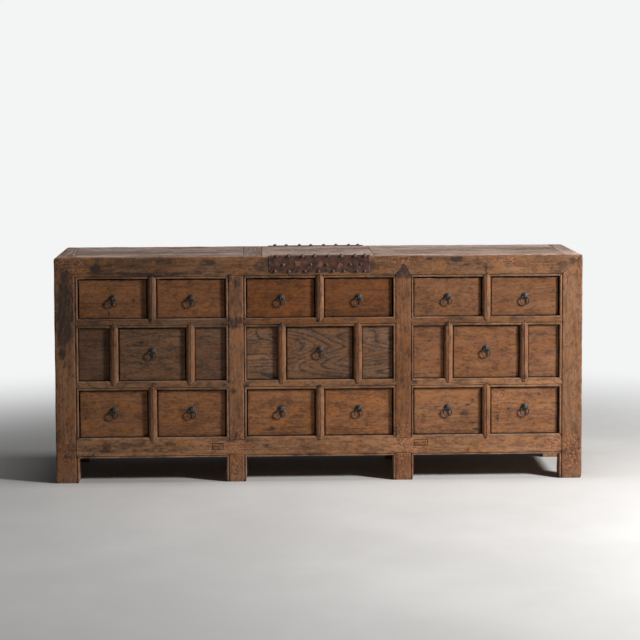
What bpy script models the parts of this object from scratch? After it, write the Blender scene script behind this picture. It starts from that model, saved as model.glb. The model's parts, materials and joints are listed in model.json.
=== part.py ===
"""A fifteen-drawer sideboard of old elm: posts and rails, three bays, drawers on ring pulls.

Metres, +Z up. The origin is on the floor under the middle of the cabinet, and its front looks
along -Y. Run it in Blender's text editor, or with blender --background --python part.py.
"""

import math

import bmesh
import bpy
from mathutils import Matrix, Vector

NAME = "fifteen_drawer_sideboard"

# Plan
DEPTH = 0.480
BAY_WIDTH = 0.5787
END_POST_WIDTH = 0.092
MID_POST_WIDTH = 0.080
POST_DEPTH = 0.060
REAR_MID_POST_DEPTH = 0.045

# Heights, from the floor up
LEG_HEIGHT = 0.0985
BOTTOM_RAIL_HEIGHT = 0.0815
BOTTOM_ROW_HEIGHT = 0.187
LOWER_RAIL_HEIGHT = 0.037
MIDDLE_ROW_HEIGHT = 0.210
UPPER_RAIL_HEIGHT = 0.036
TOP_ROW_HEIGHT = 0.156
TOP_RAIL_HEIGHT = 0.087

# Front dividers
DIVIDER_DEPTH = 0.030
MUNTIN_WIDTH = 0.034
MIDDLE_OPENING_WIDTH = 0.266
FIXED_PANEL_RECESS = 0.013
FIXED_PANEL_THICKNESS = 0.012

# Rails round the carcass
BOTTOM_RAIL_DEPTH = 0.050
BOTTOM_RAIL_LAP = 0.025
SIDE_RAIL_THICKNESS = 0.045
TOP_END_RAIL_WIDTH = 0.078
SPEAR_RISE = 0.055
SPEAR_THICKNESS = 0.020

# Panels and boards
SIDE_PANEL_INSET = 0.012
SIDE_PANEL_THICKNESS = 0.014
BACK_PANEL_INSET = 0.010
BACK_PANEL_THICKNESS = 0.012
DUST_BOARD_THICKNESS = 0.014
GUIDE_HEIGHT = 0.020
END_GUIDE_WIDTH = 0.030
GUIDE_SET_BACK = 0.003
TOP_BOARD_THICKNESS = 0.018
TOP_LIP = 0.010
CENTRE_BOARD_LEFT = 0.227
CENTRE_BOARD_RIGHT = 0.216

# Drawers
DRAWER_RECESS = 0.013
DRAWER_GAP = 0.003
DRAWER_FRONT_THICKNESS = 0.020
DRAWER_SIDE_THICKNESS = 0.012
DRAWER_BOTTOM_THICKNESS = 0.008
DRAWER_SIDE_DROP = 0.010
DRAWER_STOP_GAP = 0.0005
LOWER_PULL_LIFT = 0.012

# Ring pulls
BOSS_RADIUS = 0.015
BOSS_HEIGHT = 0.005
BOSS_SINK = 0.002
EYE_RADIUS = 0.0052
EYE_THICKNESS = 0.0035
EYE_STAND_OFF = 0.0085
RING_RADIUS = 0.01675
RING_WIRE_RADIUS = 0.00225
RING_PLAY = 0.00045

# Iron bands over the top arrises
BAND_LENGTH = 0.397
BAND_HEIGHT = 0.067
BAND_LIP = 0.016
BAND_THICKNESS = 0.002
ARRIS_STUD_RADIUS = 0.0075
FACE_STUD_RADIUS = 0.0055
FACE_STUD_HEIGHT = 0.0040
ARRIS_STUD_SHARES = (-0.89, -0.64, -0.35, -0.10, 0.18, 0.45, 0.73, 0.93)
UPPER_STUD_SHARES = (-0.75, -0.18, 0.14, 0.63, 0.85)
LOWER_STUD_SHARES = (-0.92, -0.63, -0.30, -0.02, 0.28, 0.50, 0.77, 0.93)
UPPER_STUD_DROP_SHARE = 0.51
LOWER_STUD_DROP_SHARE = 0.90

# Clearances and overruns
FIT_GAP = 0.0003
OVERRUN = 0.010
JOIN_OVERLAP = 0.002
AXIS_MERGE = 0.00001

# Facets of the round pieces
BOSS_STEPS = 16
BOSS_RINGS = 3
EYE_SIDES = 12
RING_STEPS = 16
WIRE_SIDES = 6
STUD_STEPS = 8
STUD_RINGS = 6

# Levels and faces that several pieces share
BOTTOM_OPENING = LEG_HEIGHT + BOTTOM_RAIL_HEIGHT
LOWER_RAIL_BASE = BOTTOM_OPENING + BOTTOM_ROW_HEIGHT
MIDDLE_OPENING = LOWER_RAIL_BASE + LOWER_RAIL_HEIGHT
UPPER_RAIL_BASE = MIDDLE_OPENING + MIDDLE_ROW_HEIGHT
TOP_OPENING = UPPER_RAIL_BASE + UPPER_RAIL_HEIGHT
TOP_RAIL_BASE = TOP_OPENING + TOP_ROW_HEIGHT
HEIGHT = TOP_RAIL_BASE + TOP_RAIL_HEIGHT
SHOULDER = HEIGHT - TOP_BOARD_THICKNESS

BAY_SIGNS = {"left": -1, "centre": 0, "right": 1}
BAY_PITCH = BAY_WIDTH + MID_POST_WIDTH
INNER_X = BAY_PITCH + BAY_WIDTH / 2
OUTER_X = INNER_X + END_POST_WIDTH
MID_POST_X = BAY_PITCH / 2
MIDDLE_MUNTIN_X = (MIDDLE_OPENING_WIDTH + MUNTIN_WIDTH) / 2
SIDE_PANEL_X = OUTER_X - SIDE_PANEL_INSET - SIDE_PANEL_THICKNESS
SIDE_RAIL_X = OUTER_X - SIDE_RAIL_THICKNESS

BACK = DEPTH / 2
FRONT = -BACK
FRONT_POST_BACK = FRONT + POST_DEPTH
REAR_POST_FRONT = BACK - POST_DEPTH
DIVIDER_BACK = FRONT + DIVIDER_DEPTH
BACK_PANEL_FRONT = BACK - BACK_PANEL_INSET - BACK_PANEL_THICKNESS
REAR_MID_POST_BACK = BACK_PANEL_FRONT - FIT_GAP
REAR_MID_POST_FRONT = REAR_MID_POST_BACK - REAR_MID_POST_DEPTH

DRAWER_FACE = FRONT + DRAWER_RECESS
DRAWER_LENGTH = BACK_PANEL_FRONT - DRAWER_STOP_GAP - DRAWER_FACE

# Each row of drawers: its opening's floor and height, the openings' width, their middles in a bay
PAIR_OPENING_WIDTH = (BAY_WIDTH - MUNTIN_WIDTH) / 2
PAIR_X = (PAIR_OPENING_WIDTH + MUNTIN_WIDTH) / 2
PAIR = {"_left": -PAIR_X, "_right": PAIR_X}
ROWS = {
    "top": (TOP_OPENING, TOP_ROW_HEIGHT, PAIR_OPENING_WIDTH, PAIR),
    "middle": (MIDDLE_OPENING, MIDDLE_ROW_HEIGHT, MIDDLE_OPENING_WIDTH, {"": 0}),
    "bottom": (BOTTOM_OPENING, BOTTOM_ROW_HEIGHT, PAIR_OPENING_WIDTH, PAIR),
}
PULL_LIFTS = {"top": 0, "middle": LOWER_PULL_LIFT, "bottom": LOWER_PULL_LIFT}


def clear_scene():
    for obj in list(bpy.data.objects):
        bpy.data.objects.remove(obj, do_unlink=True)


def new_collection(name):
    collection = bpy.data.collections.new(name)
    bpy.context.scene.collection.children.link(collection)
    return collection


def finish(name, colour, roughness, metallic=0.0):
    """A plain Principled material."""
    material = bpy.data.materials.new(name)
    material.use_nodes = True
    shader = material.node_tree.nodes["Principled BSDF"]
    shader.inputs["Base Color"].default_value = (*colour, 1.0)
    shader.inputs["Roughness"].default_value = roughness
    shader.inputs["Metallic"].default_value = metallic
    return material


def add(name, mesh, material, location=(0, 0, 0)):
    """A named object in the cabinet's collection."""
    obj = bpy.data.objects.new(name, mesh)
    obj.location = location
    if material and not mesh.materials:
        mesh.materials.append(material)
    pieces.objects.link(obj)
    return obj


def boxes_mesh(name, spans, centre=(0, 0, 0)):
    """One mesh of boxes, each given by its low and high corner, around centre."""
    bm = bmesh.new()
    for low, high in spans:
        low, high = Vector(low), Vector(high)
        middle = Matrix.Translation((low + high) / 2 - Vector(centre))
        size = Matrix.Diagonal((*(high - low), 1))
        bmesh.ops.create_cube(bm, size=1, matrix=middle @ size)
    mesh = bpy.data.meshes.new(name)
    bm.to_mesh(mesh)
    bm.free()
    return mesh


def box(name, low, high, material):
    """A squared timber between two corners, with its origin at its middle."""
    centre = (Vector(low) + Vector(high)) / 2
    return add(name, boxes_mesh(name, [(low, high)], centre), material, centre)


def outline_mesh(name, points, thickness, turn):
    """A flat outline with a thickness, drawn as a filled curve in XY and then turned."""
    curve = bpy.data.curves.new(name, "CURVE")
    curve.dimensions = "2D"
    curve.fill_mode = "BOTH"
    curve.extrude = thickness / 2
    spline = curve.splines.new("POLY")
    spline.points.add(len(points) - 1)
    for point, (x, y) in zip(spline.points, points):
        point.co = (x, y, 0, 1)
    spline.use_cyclic_u = True
    drawn = bpy.data.objects.new(name, curve)
    bpy.context.scene.collection.objects.link(drawn)
    mesh = evaluated_mesh(drawn)
    bpy.data.objects.remove(drawn)
    mesh.transform(turn)
    bm = bmesh.new()
    bm.from_mesh(mesh)
    bmesh.ops.remove_doubles(bm, verts=bm.verts, dist=AXIS_MERGE)
    bmesh.ops.dissolve_limit(bm, angle_limit=math.radians(1), verts=bm.verts, edges=bm.edges)
    bmesh.ops.recalc_face_normals(bm, faces=bm.faces)
    bm.to_mesh(mesh)
    bm.free()
    return mesh


def evaluated_mesh(obj):
    bpy.context.view_layer.update()
    graph = bpy.context.evaluated_depsgraph_get()
    return bpy.data.meshes.new_from_object(obj.evaluated_get(graph), depsgraph=graph)


def tool(name, mesh, location=(0, 0, 0)):
    """A helper shape for a Boolean, kept out of the render."""
    obj = bpy.data.objects.new(name, mesh)
    obj.location = location
    obj.hide_render = True
    obj.display_type = "WIRE"
    cutters.objects.link(obj)
    return obj


def combine(obj, other, operation):
    modifier = obj.modifiers.new(other.name, "BOOLEAN")
    modifier.operation = operation
    modifier.solver = "EXACT"
    modifier.object = other


def baked(obj):
    """The object's mesh with its Booleans applied. The object and its tools are removed."""
    tools = [modifier.object for modifier in obj.modifiers if modifier.type == "BOOLEAN"]
    mesh = evaluated_mesh(obj)
    for used in [obj, *tools]:
        bpy.data.objects.remove(used, do_unlink=True)
    return mesh


# In the front view a point's X stays and its Y becomes Z, and the thickness lies along Y.
FRONT_VIEW = Matrix.Rotation(math.radians(90), 4, "X")


def sloped_gap(run, rise):
    """How far a line that climbs rise over run moves up to stand FIT_GAP away from itself."""
    return FIT_GAP * math.hypot(run, rise) / run


def end_posts():
    """Corner posts. Their tops slope up and out, and meet the long top rails in a mitre."""
    drop = sloped_gap(END_POST_WIDTH, TOP_RAIL_HEIGHT)
    for place, low, high in (("front", FRONT, FRONT_POST_BACK), ("rear", REAR_POST_FRONT, BACK)):
        for side, sign in (("left", -1), ("right", 1)):
            name = f"{place}_end_post_{side}"
            points = [
                (sign * INNER_X, 0),
                (sign * OUTER_X, 0),
                (sign * OUTER_X, HEIGHT - drop),
                (sign * INNER_X, TOP_RAIL_BASE - drop),
            ]
            mesh = outline_mesh(name, points, high - low, FRONT_VIEW)
            post = add(name, mesh, elm_post, (0, (low + high) / 2, 0))
            combine(post, top_bed, "DIFFERENCE")


def spear_mesh(name, base, rise, thickness):
    """The pointed tongue on a mid post's head: half its width is base, and rise is its height."""
    points = [(-base, -JOIN_OVERLAP), (base, -JOIN_OVERLAP), (base, 0), (0, rise), (-base, 0)]
    return outline_mesh(name, points, thickness, FRONT_VIEW)


def mid_posts():
    """Posts between the bays. The long bottom rail is lapped across them."""
    lap = tool(
        "bottom_rail_lap",
        boxes_mesh(
            "bottom_rail_lap",
            [
                (
                    (-OUTER_X, FRONT - OVERRUN, LEG_HEIGHT - FIT_GAP),
                    (OUTER_X, FRONT + BOTTOM_RAIL_LAP + FIT_GAP, BOTTOM_OPENING + FIT_GAP),
                )
            ],
        ),
    )
    for side, sign in (("left", -1), ("right", 1)):
        low_x = sign * MID_POST_X - MID_POST_WIDTH / 2
        high_x = sign * MID_POST_X + MID_POST_WIDTH / 2
        head = TOP_RAIL_BASE - FIT_GAP
        high = (high_x, FRONT_POST_BACK, head)
        post = box(f"front_mid_post_{side}", (low_x, FRONT, 0), high, elm_post)
        combine(post, lap, "DIFFERENCE")
        if side == "right":
            spear = tool(
                "spear_tongue",
                spear_mesh("spear_tongue", MID_POST_WIDTH / 2, SPEAR_RISE, SPEAR_THICKNESS),
                (MID_POST_X, FRONT + SPEAR_THICKNESS / 2, head),
            )
            combine(post, spear, "UNION")
        box(
            f"rear_mid_post_{side}",
            (low_x, REAR_MID_POST_FRONT, 0),
            (high_x, REAR_MID_POST_BACK, head),
            elm_inner,
        )


def long_top_rails():
    """The long rails of the top frame, mitred over the end posts."""
    points = [
        (-INNER_X, TOP_RAIL_BASE),
        (INNER_X, TOP_RAIL_BASE),
        (OUTER_X, HEIGHT),
        (-OUTER_X, HEIGHT),
    ]
    for place, low, high in (("front", FRONT, FRONT_POST_BACK), ("back", REAR_POST_FRONT, BACK)):
        name = f"top_{place}_rail"
        mesh = outline_mesh(name, points, high - low, FRONT_VIEW)
        rail = add(name, mesh, elm_rail, (0, (low + high) / 2, 0))
        combine(rail, top_bed, "DIFFERENCE")
        if place == "front":
            rise = SPEAR_RISE + sloped_gap(MID_POST_WIDTH / 2, SPEAR_RISE)
            depth = SPEAR_THICKNESS + FIT_GAP + OVERRUN
            notch = tool(
                "spear_notch",
                spear_mesh("spear_notch", MID_POST_WIDTH / 2 + FIT_GAP, rise, depth),
                (MID_POST_X, FRONT - OVERRUN + depth / 2, TOP_RAIL_BASE - FIT_GAP),
            )
            combine(rail, notch, "DIFFERENCE")


def short_rails():
    """The end rails of the top frame and of the base, between the corner posts."""
    low_y, high_y = FRONT_POST_BACK + FIT_GAP, REAR_POST_FRONT - FIT_GAP
    for side, sign in (("left", -1), ("right", 1)):
        for name, width, low_z, high_z in (
            (f"top_end_rail_{side}", TOP_END_RAIL_WIDTH, TOP_RAIL_BASE, SHOULDER - FIT_GAP),
            (f"bottom_side_rail_{side}", SIDE_RAIL_THICKNESS, LEG_HEIGHT, BOTTOM_OPENING),
        ):
            edges = sorted((sign * OUTER_X, sign * (OUTER_X - width)))
            box(name, (edges[0], low_y, low_z), (edges[1], high_y, high_z), elm_rail)


def bottom_rails():
    """The front rail laps over the mid posts. The back rail is a plain board behind them."""
    span = INNER_X - FIT_GAP
    rail = box(
        "bottom_front_rail",
        (-span, FRONT, LEG_HEIGHT),
        (span, FRONT + BOTTOM_RAIL_DEPTH, BOTTOM_OPENING),
        elm_rail,
    )
    housings = []
    for sign in (-1, 1):
        low_x = sign * MID_POST_X - MID_POST_WIDTH / 2 - FIT_GAP
        high_x = sign * MID_POST_X + MID_POST_WIDTH / 2 + FIT_GAP
        housings.append(
            (
                (low_x, FRONT + BOTTOM_RAIL_LAP, LEG_HEIGHT - OVERRUN),
                (high_x, FRONT + BOTTOM_RAIL_DEPTH + OVERRUN, BOTTOM_OPENING + OVERRUN),
            )
        )
    combine(rail, tool("mid_post_housings", boxes_mesh("mid_post_housings", housings)), "DIFFERENCE")
    box(
        "bottom_back_rail",
        (-span, BACK_PANEL_FRONT, LEG_HEIGHT),
        (span, BACK, BOTTOM_OPENING),
        elm_inner,
    )


def divider_frames():
    """In each bay, two rails and four muntins that part the drawers, and two fixed panels."""
    half = BAY_WIDTH / 2
    for bay, sign in BAY_SIGNS.items():
        middle = sign * BAY_PITCH
        frame = box(
            f"divider_frame_{bay}",
            (middle - half + FIT_GAP, FRONT, BOTTOM_OPENING + FIT_GAP),
            (middle + half - FIT_GAP, DIVIDER_BACK, TOP_RAIL_BASE - FIT_GAP),
            elm_rail,
        )
        spans = []
        for row, (base, height, width, offsets) in ROWS.items():
            for offset in offsets.values():
                low_x = middle + offset - width / 2 - (OVERRUN if offset < 0 else 0)
                high_x = middle + offset + width / 2 + (OVERRUN if offset > 0 else 0)
                low_z = base - (OVERRUN if row == "bottom" else 0)
                high_z = base + height + (OVERRUN if row == "top" else 0)
                spans.append(((low_x, FRONT - OVERRUN, low_z), (high_x, DIVIDER_BACK + OVERRUN, high_z)))
        for end in (-1, 1):
            inner = middle + end * (MIDDLE_MUNTIN_X + MUNTIN_WIDTH / 2)
            low_x, high_x = sorted((inner, middle + end * (half + OVERRUN)))
            for low_y, high_y in (
                (FRONT - OVERRUN, FRONT + FIXED_PANEL_RECESS),
                (FRONT + FIXED_PANEL_RECESS + FIXED_PANEL_THICKNESS, DIVIDER_BACK + OVERRUN),
            ):
                spans.append(((low_x, low_y, MIDDLE_OPENING), (high_x, high_y, UPPER_RAIL_BASE)))
        openings = tool(f"openings_{bay}", boxes_mesh(f"openings_{bay}", spans))
        combine(frame, openings, "DIFFERENCE")


def panels():
    """The closing panels of the ends and the back."""
    low_z, high_z = BOTTOM_OPENING + FIT_GAP, TOP_RAIL_BASE - FIT_GAP
    for side, sign in (("left", -1), ("right", 1)):
        edges = sorted((sign * SIDE_PANEL_X, sign * (SIDE_PANEL_X + SIDE_PANEL_THICKNESS)))
        low = (edges[0], FRONT_POST_BACK + FIT_GAP, low_z)
        high = (edges[1], REAR_POST_FRONT - FIT_GAP, high_z)
        box(f"side_panel_{side}", low, high, elm_panel)
    span = INNER_X - FIT_GAP
    box(
        "back_panel",
        (-span, BACK_PANEL_FRONT, low_z),
        (span, BACK_PANEL_FRONT + BACK_PANEL_THICKNESS, high_z),
        elm_inner,
    )


def post_notches(front):
    """Boxes round every post, to cut a carrying board with. front is the board's front edge."""
    low_z, high_z = -OVERRUN, HEIGHT + OVERRUN
    inner = INNER_X - FIT_GAP
    outer = OUTER_X + OVERRUN
    half = MID_POST_WIDTH / 2 + FIT_GAP
    front_post, rear_end = FRONT_POST_BACK + FIT_GAP, REAR_POST_FRONT - FIT_GAP
    rear_mid = REAR_MID_POST_FRONT - FIT_GAP
    spans = []
    for sign in (-1, 1):
        low_x, high_x = sorted((sign * inner, sign * outer))
        spans.append(((low_x, front - OVERRUN, low_z), (high_x, front_post, high_z)))
        spans.append(((low_x, rear_end, low_z), (high_x, BACK + OVERRUN, high_z)))
        middle = sign * MID_POST_X
        spans.append(((middle - half, front - OVERRUN, low_z), (middle + half, front_post, high_z)))
        spans.append(((middle - half, rear_mid, low_z), (middle + half, BACK + OVERRUN, high_z)))
    return spans


def carrying_boards():
    """The boards that the drawers run on, with guide strips that keep the drawers straight."""
    low_y = FRONT_POST_BACK + GUIDE_SET_BACK
    high_y = REAR_MID_POST_FRONT - GUIDE_SET_BACK
    for name, top, row, front, reach in (
        ("bottom_board", BOTTOM_OPENING, "bottom", FRONT + BOTTOM_RAIL_DEPTH, SIDE_RAIL_X),
        ("dust_board_lower", MIDDLE_OPENING, "middle", DIVIDER_BACK, SIDE_PANEL_X),
        ("dust_board_upper", TOP_OPENING, "top", DIVIDER_BACK, SIDE_PANEL_X),
    ):
        board = box(
            name,
            (-reach + FIT_GAP, front + FIT_GAP, top - DUST_BOARD_THICKNESS),
            (reach - FIT_GAP, BACK_PANEL_FRONT - FIT_GAP, top),
            elm_inner,
        )
        notches = boxes_mesh(f"{name}_notches", post_notches(front))
        combine(board, tool(f"{name}_notches", notches), "DIFFERENCE")
        muntins = (-MIDDLE_MUNTIN_X, MIDDLE_MUNTIN_X) if row == "middle" else (0,)
        strips = [(x, MID_POST_WIDTH) for x in (-MID_POST_X, MID_POST_X)]
        strips += [(sign * BAY_PITCH + x, MUNTIN_WIDTH) for sign in BAY_SIGNS.values() for x in muntins]
        strips += [(sign * (INNER_X + END_GUIDE_WIDTH / 2), END_GUIDE_WIDTH) for sign in (-1, 1)]
        spans = [
            ((x - width / 2, low_y, top - JOIN_OVERLAP), (x + width / 2, high_y, top + GUIDE_HEIGHT))
            for x, width in strips
        ]
        guides = tool(f"{name}_guides", boxes_mesh(f"{name}_guides", spans))
        combine(board, guides, "UNION")


def top_boards():
    """The boards of the top, flush inside the lips of the long rails."""
    half_depth = DEPTH / 2 - TOP_LIP - FIT_GAP
    half_gap = FIT_GAP / 2
    for name, low_x, high_x in (
        ("top_board_left", -OUTER_X, -CENTRE_BOARD_LEFT - half_gap),
        ("top_board_centre", -CENTRE_BOARD_LEFT + half_gap, CENTRE_BOARD_RIGHT - half_gap),
        ("top_board_right", CENTRE_BOARD_RIGHT + half_gap, OUTER_X),
    ):
        box(name, (low_x, -half_depth, SHOULDER), (high_x, half_depth, HEIGHT), elm_top)


def boss_mesh():
    """The domed boss behind a ring, turned about Z, with its foot sunk in the drawer front."""
    dome = (BOSS_RADIUS**2 + BOSS_HEIGHT**2) / (2 * BOSS_HEIGHT)
    sweep = math.asin(BOSS_RADIUS / dome)
    points = [(0, BOSS_HEIGHT)]
    for step in range(1, BOSS_RINGS + 1):
        angle = sweep * step / BOSS_RINGS
        points.append((dome * math.sin(angle), dome * math.cos(angle) - dome + BOSS_HEIGHT))
    points += [(BOSS_RADIUS, -BOSS_SINK), (0, -BOSS_SINK)]
    mesh = bpy.data.meshes.new("boss_profile")
    edges = [(i, i + 1) for i in range(len(points) - 1)]
    mesh.from_pydata([(x, 0, z) for x, z in points], edges, [])
    profile = bpy.data.objects.new("boss_profile", mesh)
    bpy.context.scene.collection.objects.link(profile)
    screw = profile.modifiers.new("turn", "SCREW")
    screw.steps = BOSS_STEPS
    screw.render_steps = BOSS_STEPS
    screw.use_merge_vertices = True
    screw.merge_threshold = AXIS_MERGE
    turned = evaluated_mesh(profile)
    bpy.data.objects.remove(profile)
    return turned


def round_bar_mesh(name, radius, length, sides):
    """A cylinder along X."""
    bm = bmesh.new()
    bmesh.ops.create_cone(
        bm,
        cap_ends=True,
        segments=sides,
        radius1=radius,
        radius2=radius,
        depth=length,
        matrix=Matrix.Rotation(math.radians(90), 4, "Y"),
    )
    mesh = bpy.data.meshes.new(name)
    bm.to_mesh(mesh)
    bm.free()
    return mesh


def pull_height(row):
    """The height of a row's ring eyes above its openings' floor."""
    return ROWS[row][1] / 2 + PULL_LIFTS[row]


def drawer_mesh(row):
    """A drawer about the middle of its front's lower line: front, sides, back, bottom, boss and eye."""
    height, width = ROWS[row][1], ROWS[row][2]
    half = width / 2 - DRAWER_GAP
    top = height - DRAWER_GAP
    side_top = top - DRAWER_SIDE_DROP
    front = boxes_mesh("front", [((-half, 0, DRAWER_GAP), (half, DRAWER_FRONT_THICKNESS, top))])
    drawer = add(f"{row}_drawer", front, elm_drawer)
    tray = [
        (
            (-half, DRAWER_FRONT_THICKNESS - JOIN_OVERLAP, FIT_GAP),
            (half, DRAWER_LENGTH, side_top),
        )
    ]
    cavity = [
        (
            (-half + DRAWER_SIDE_THICKNESS, DRAWER_FRONT_THICKNESS, FIT_GAP + DRAWER_BOTTOM_THICKNESS),
            (half - DRAWER_SIDE_THICKNESS, DRAWER_LENGTH - DRAWER_SIDE_THICKNESS, height + OVERRUN),
        )
    ]
    eye = (0, -EYE_STAND_OFF, pull_height(row))
    hole = RING_WIRE_RADIUS + RING_PLAY
    boss = boss_mesh()
    boss.transform(FRONT_VIEW)
    combine(drawer, tool("tray", boxes_mesh("tray", tray)), "UNION")
    combine(drawer, tool("cavity", boxes_mesh("cavity", cavity)), "DIFFERENCE")
    combine(drawer, tool("boss", boss, (0, 0, pull_height(row))), "UNION")
    combine(drawer, tool("eye", round_bar_mesh("eye", EYE_RADIUS, EYE_THICKNESS, EYE_SIDES), eye), "UNION")
    length = EYE_THICKNESS + 2 * OVERRUN
    combine(drawer, tool("eye_hole", round_bar_mesh("eye_hole", hole, length, EYE_SIDES), eye), "DIFFERENCE")
    return baked(drawer)


def ring_mesh():
    """A ring of round wire that hangs in the XZ plane, with its origin where the eye holds it."""
    bpy.ops.mesh.primitive_torus_add(
        major_segments=RING_STEPS,
        minor_segments=WIRE_SIDES,
        major_radius=RING_RADIUS,
        minor_radius=RING_WIRE_RADIUS,
    )
    made = bpy.context.object
    mesh = made.data
    bpy.data.objects.remove(made)
    half_step = math.radians(180) / RING_STEPS
    drop = RING_RADIUS * math.cos(half_step)
    level = Matrix.Rotation(half_step, 4, "Z")
    mesh.transform(Matrix.Translation((0, 0, -drop)) @ FRONT_VIEW @ level)
    return mesh


def drawers_and_rings():
    """Fifteen drawers, and on each a ring parented to it, with its origin on its hinge line."""
    ring = ring_mesh()
    for row, (base, _, _, offsets) in ROWS.items():
        drawer = drawer_mesh(row)
        for bay, sign in BAY_SIGNS.items():
            for side, offset in offsets.items():
                place = f"{bay}_bay_{row}{side}"
                location = (sign * BAY_PITCH + offset, DRAWER_FACE, base)
                body = add(f"drawer_{place}", drawer, elm_drawer, location)
                pull = add(f"ring_{place}", ring, iron, (0, -EYE_STAND_OFF, pull_height(row)))
                pull.parent = body


def band_mesh():
    """An iron band folded over an arris. Its origin is on the wood's arris, its face looks along -Y."""
    inner, outer = FIT_GAP, FIT_GAP + BAND_THICKNESS
    # The strap is drawn a little thick, then cut to its seat together with the shanks of its studs
    blank = inner / 2
    points = [
        (-outer, -BAND_HEIGHT),
        (-blank, -BAND_HEIGHT),
        (-blank, blank),
        (BAND_LIP, blank),
        (BAND_LIP, outer),
        (-outer, outer),
    ]
    side_view = Matrix.Rotation(math.radians(90), 4, "Z") @ FRONT_VIEW
    strap = add("strap", outline_mesh("strap", points, BAND_LENGTH, side_view), iron)
    reach = BAND_LENGTH / 2 - ARRIS_STUD_RADIUS
    # Half a step round keeps the studs' corners off the strap's own faces
    half_step = Matrix.Rotation(math.pi / STUD_STEPS, 4, "Z")
    bm = bmesh.new()
    ball = (ARRIS_STUD_RADIUS, ARRIS_STUD_RADIUS, ARRIS_STUD_RADIUS)
    dome = (FACE_STUD_RADIUS, FACE_STUD_HEIGHT, FACE_STUD_RADIUS)
    rows = (
        (ARRIS_STUD_SHARES, 0, ball),
        (UPPER_STUD_SHARES, -UPPER_STUD_DROP_SHARE * BAND_HEIGHT, dome),
        (LOWER_STUD_SHARES, -LOWER_STUD_DROP_SHARE * BAND_HEIGHT, dome),
    )
    for shares, level, size in rows:
        for share in shares:
            place = Matrix.Translation((share * reach, -inner, level)) @ Matrix.Diagonal((*size, 1))
            bmesh.ops.create_uvsphere(
                bm,
                u_segments=STUD_STEPS,
                v_segments=STUD_RINGS,
                radius=1,
                matrix=place @ half_step,
            )
    studs = bpy.data.meshes.new("studs")
    bm.to_mesh(studs)
    bm.free()
    combine(strap, tool("studs", studs), "UNION")
    span = BAND_LENGTH / 2 + OVERRUN
    wood = [((-span, -inner, -BAND_HEIGHT - OVERRUN), (span, BAND_LIP + OVERRUN, inner))]
    combine(strap, tool("wood_corner", boxes_mesh("wood_corner", wood)), "DIFFERENCE")
    return baked(strap)


def iron_bands():
    mesh = band_mesh()
    add("iron_band_front", mesh, iron, (0, FRONT, HEIGHT))
    rear = add("iron_band_rear", mesh, iron, (0, BACK, HEIGHT))
    rear.rotation_euler.z = math.radians(180)


clear_scene()
pieces = new_collection(NAME)
cutters = new_collection("cutters")
elm_post = finish("elm_post", (0.19, 0.10, 0.055), 0.55)
elm_rail = finish("elm_rail", (0.20, 0.11, 0.060), 0.55)
elm_panel = finish("elm_panel", (0.16, 0.085, 0.048), 0.60)
elm_drawer = finish("elm_drawer", (0.22, 0.115, 0.060), 0.55)
elm_top = finish("elm_top", (0.26, 0.205, 0.180), 0.70)
elm_inner = finish("elm_inner", (0.23, 0.15, 0.095), 0.80)
iron = finish("iron", (0.035, 0.026, 0.024), 0.60, 0.8)

bed_depth = DEPTH / 2 - TOP_LIP
top_bed = tool(
    "top_bed",
    boxes_mesh(
        "top_bed",
        [
            (
                (-OUTER_X - OVERRUN, -bed_depth, SHOULDER - FIT_GAP),
                (OUTER_X + OVERRUN, bed_depth, HEIGHT + OVERRUN),
            )
        ],
    ),
)
end_posts()
mid_posts()
long_top_rails()
short_rails()
bottom_rails()
divider_frames()
panels()
carrying_boards()
top_boards()
drawers_and_rings()
iron_bands()
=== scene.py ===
# %% [markdown]
# # A fifteen-drawer sideboard of old elm
#
# The real object is a long, low chest from a joiner's shop: posts and rails with beaded edges, fifteen
# drawers with iron ring pulls, and an iron band full of studs over the top edge. Everything is worn.
#
# The construction was drawn first and is loaded here as a fixed frame, in metres, with the front
# towards -Y. This script dresses it: each real piece of wood or iron becomes a mesh of its own that sits
# exactly where the frame says, so that drawers and rings still move.

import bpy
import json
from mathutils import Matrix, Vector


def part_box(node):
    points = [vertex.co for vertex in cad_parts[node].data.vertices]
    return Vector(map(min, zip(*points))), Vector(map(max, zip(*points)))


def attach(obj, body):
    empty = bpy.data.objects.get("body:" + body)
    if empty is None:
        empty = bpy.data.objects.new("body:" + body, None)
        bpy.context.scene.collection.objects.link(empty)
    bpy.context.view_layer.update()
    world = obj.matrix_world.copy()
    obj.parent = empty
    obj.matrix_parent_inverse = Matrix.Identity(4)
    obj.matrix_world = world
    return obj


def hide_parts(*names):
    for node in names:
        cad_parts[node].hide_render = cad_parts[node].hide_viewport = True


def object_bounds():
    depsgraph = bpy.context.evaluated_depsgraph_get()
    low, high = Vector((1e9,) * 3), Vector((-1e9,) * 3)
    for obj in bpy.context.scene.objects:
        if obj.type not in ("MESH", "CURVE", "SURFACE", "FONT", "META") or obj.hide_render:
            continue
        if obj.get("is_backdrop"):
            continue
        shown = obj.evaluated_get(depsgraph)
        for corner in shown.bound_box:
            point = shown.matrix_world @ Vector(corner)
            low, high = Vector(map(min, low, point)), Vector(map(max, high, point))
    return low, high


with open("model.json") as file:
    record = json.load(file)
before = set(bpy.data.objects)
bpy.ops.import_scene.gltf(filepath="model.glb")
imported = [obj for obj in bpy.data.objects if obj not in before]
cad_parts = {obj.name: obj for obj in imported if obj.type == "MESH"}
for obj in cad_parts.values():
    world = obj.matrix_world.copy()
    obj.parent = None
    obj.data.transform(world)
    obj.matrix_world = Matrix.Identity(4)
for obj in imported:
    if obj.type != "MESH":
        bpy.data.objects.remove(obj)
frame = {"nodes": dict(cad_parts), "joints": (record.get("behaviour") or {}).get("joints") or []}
cad_low, cad_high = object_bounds()

# %% Modules
import json
import math
import zlib

import bmesh
import bpy
import numpy as np
from mathutils import Matrix, Vector

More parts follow.
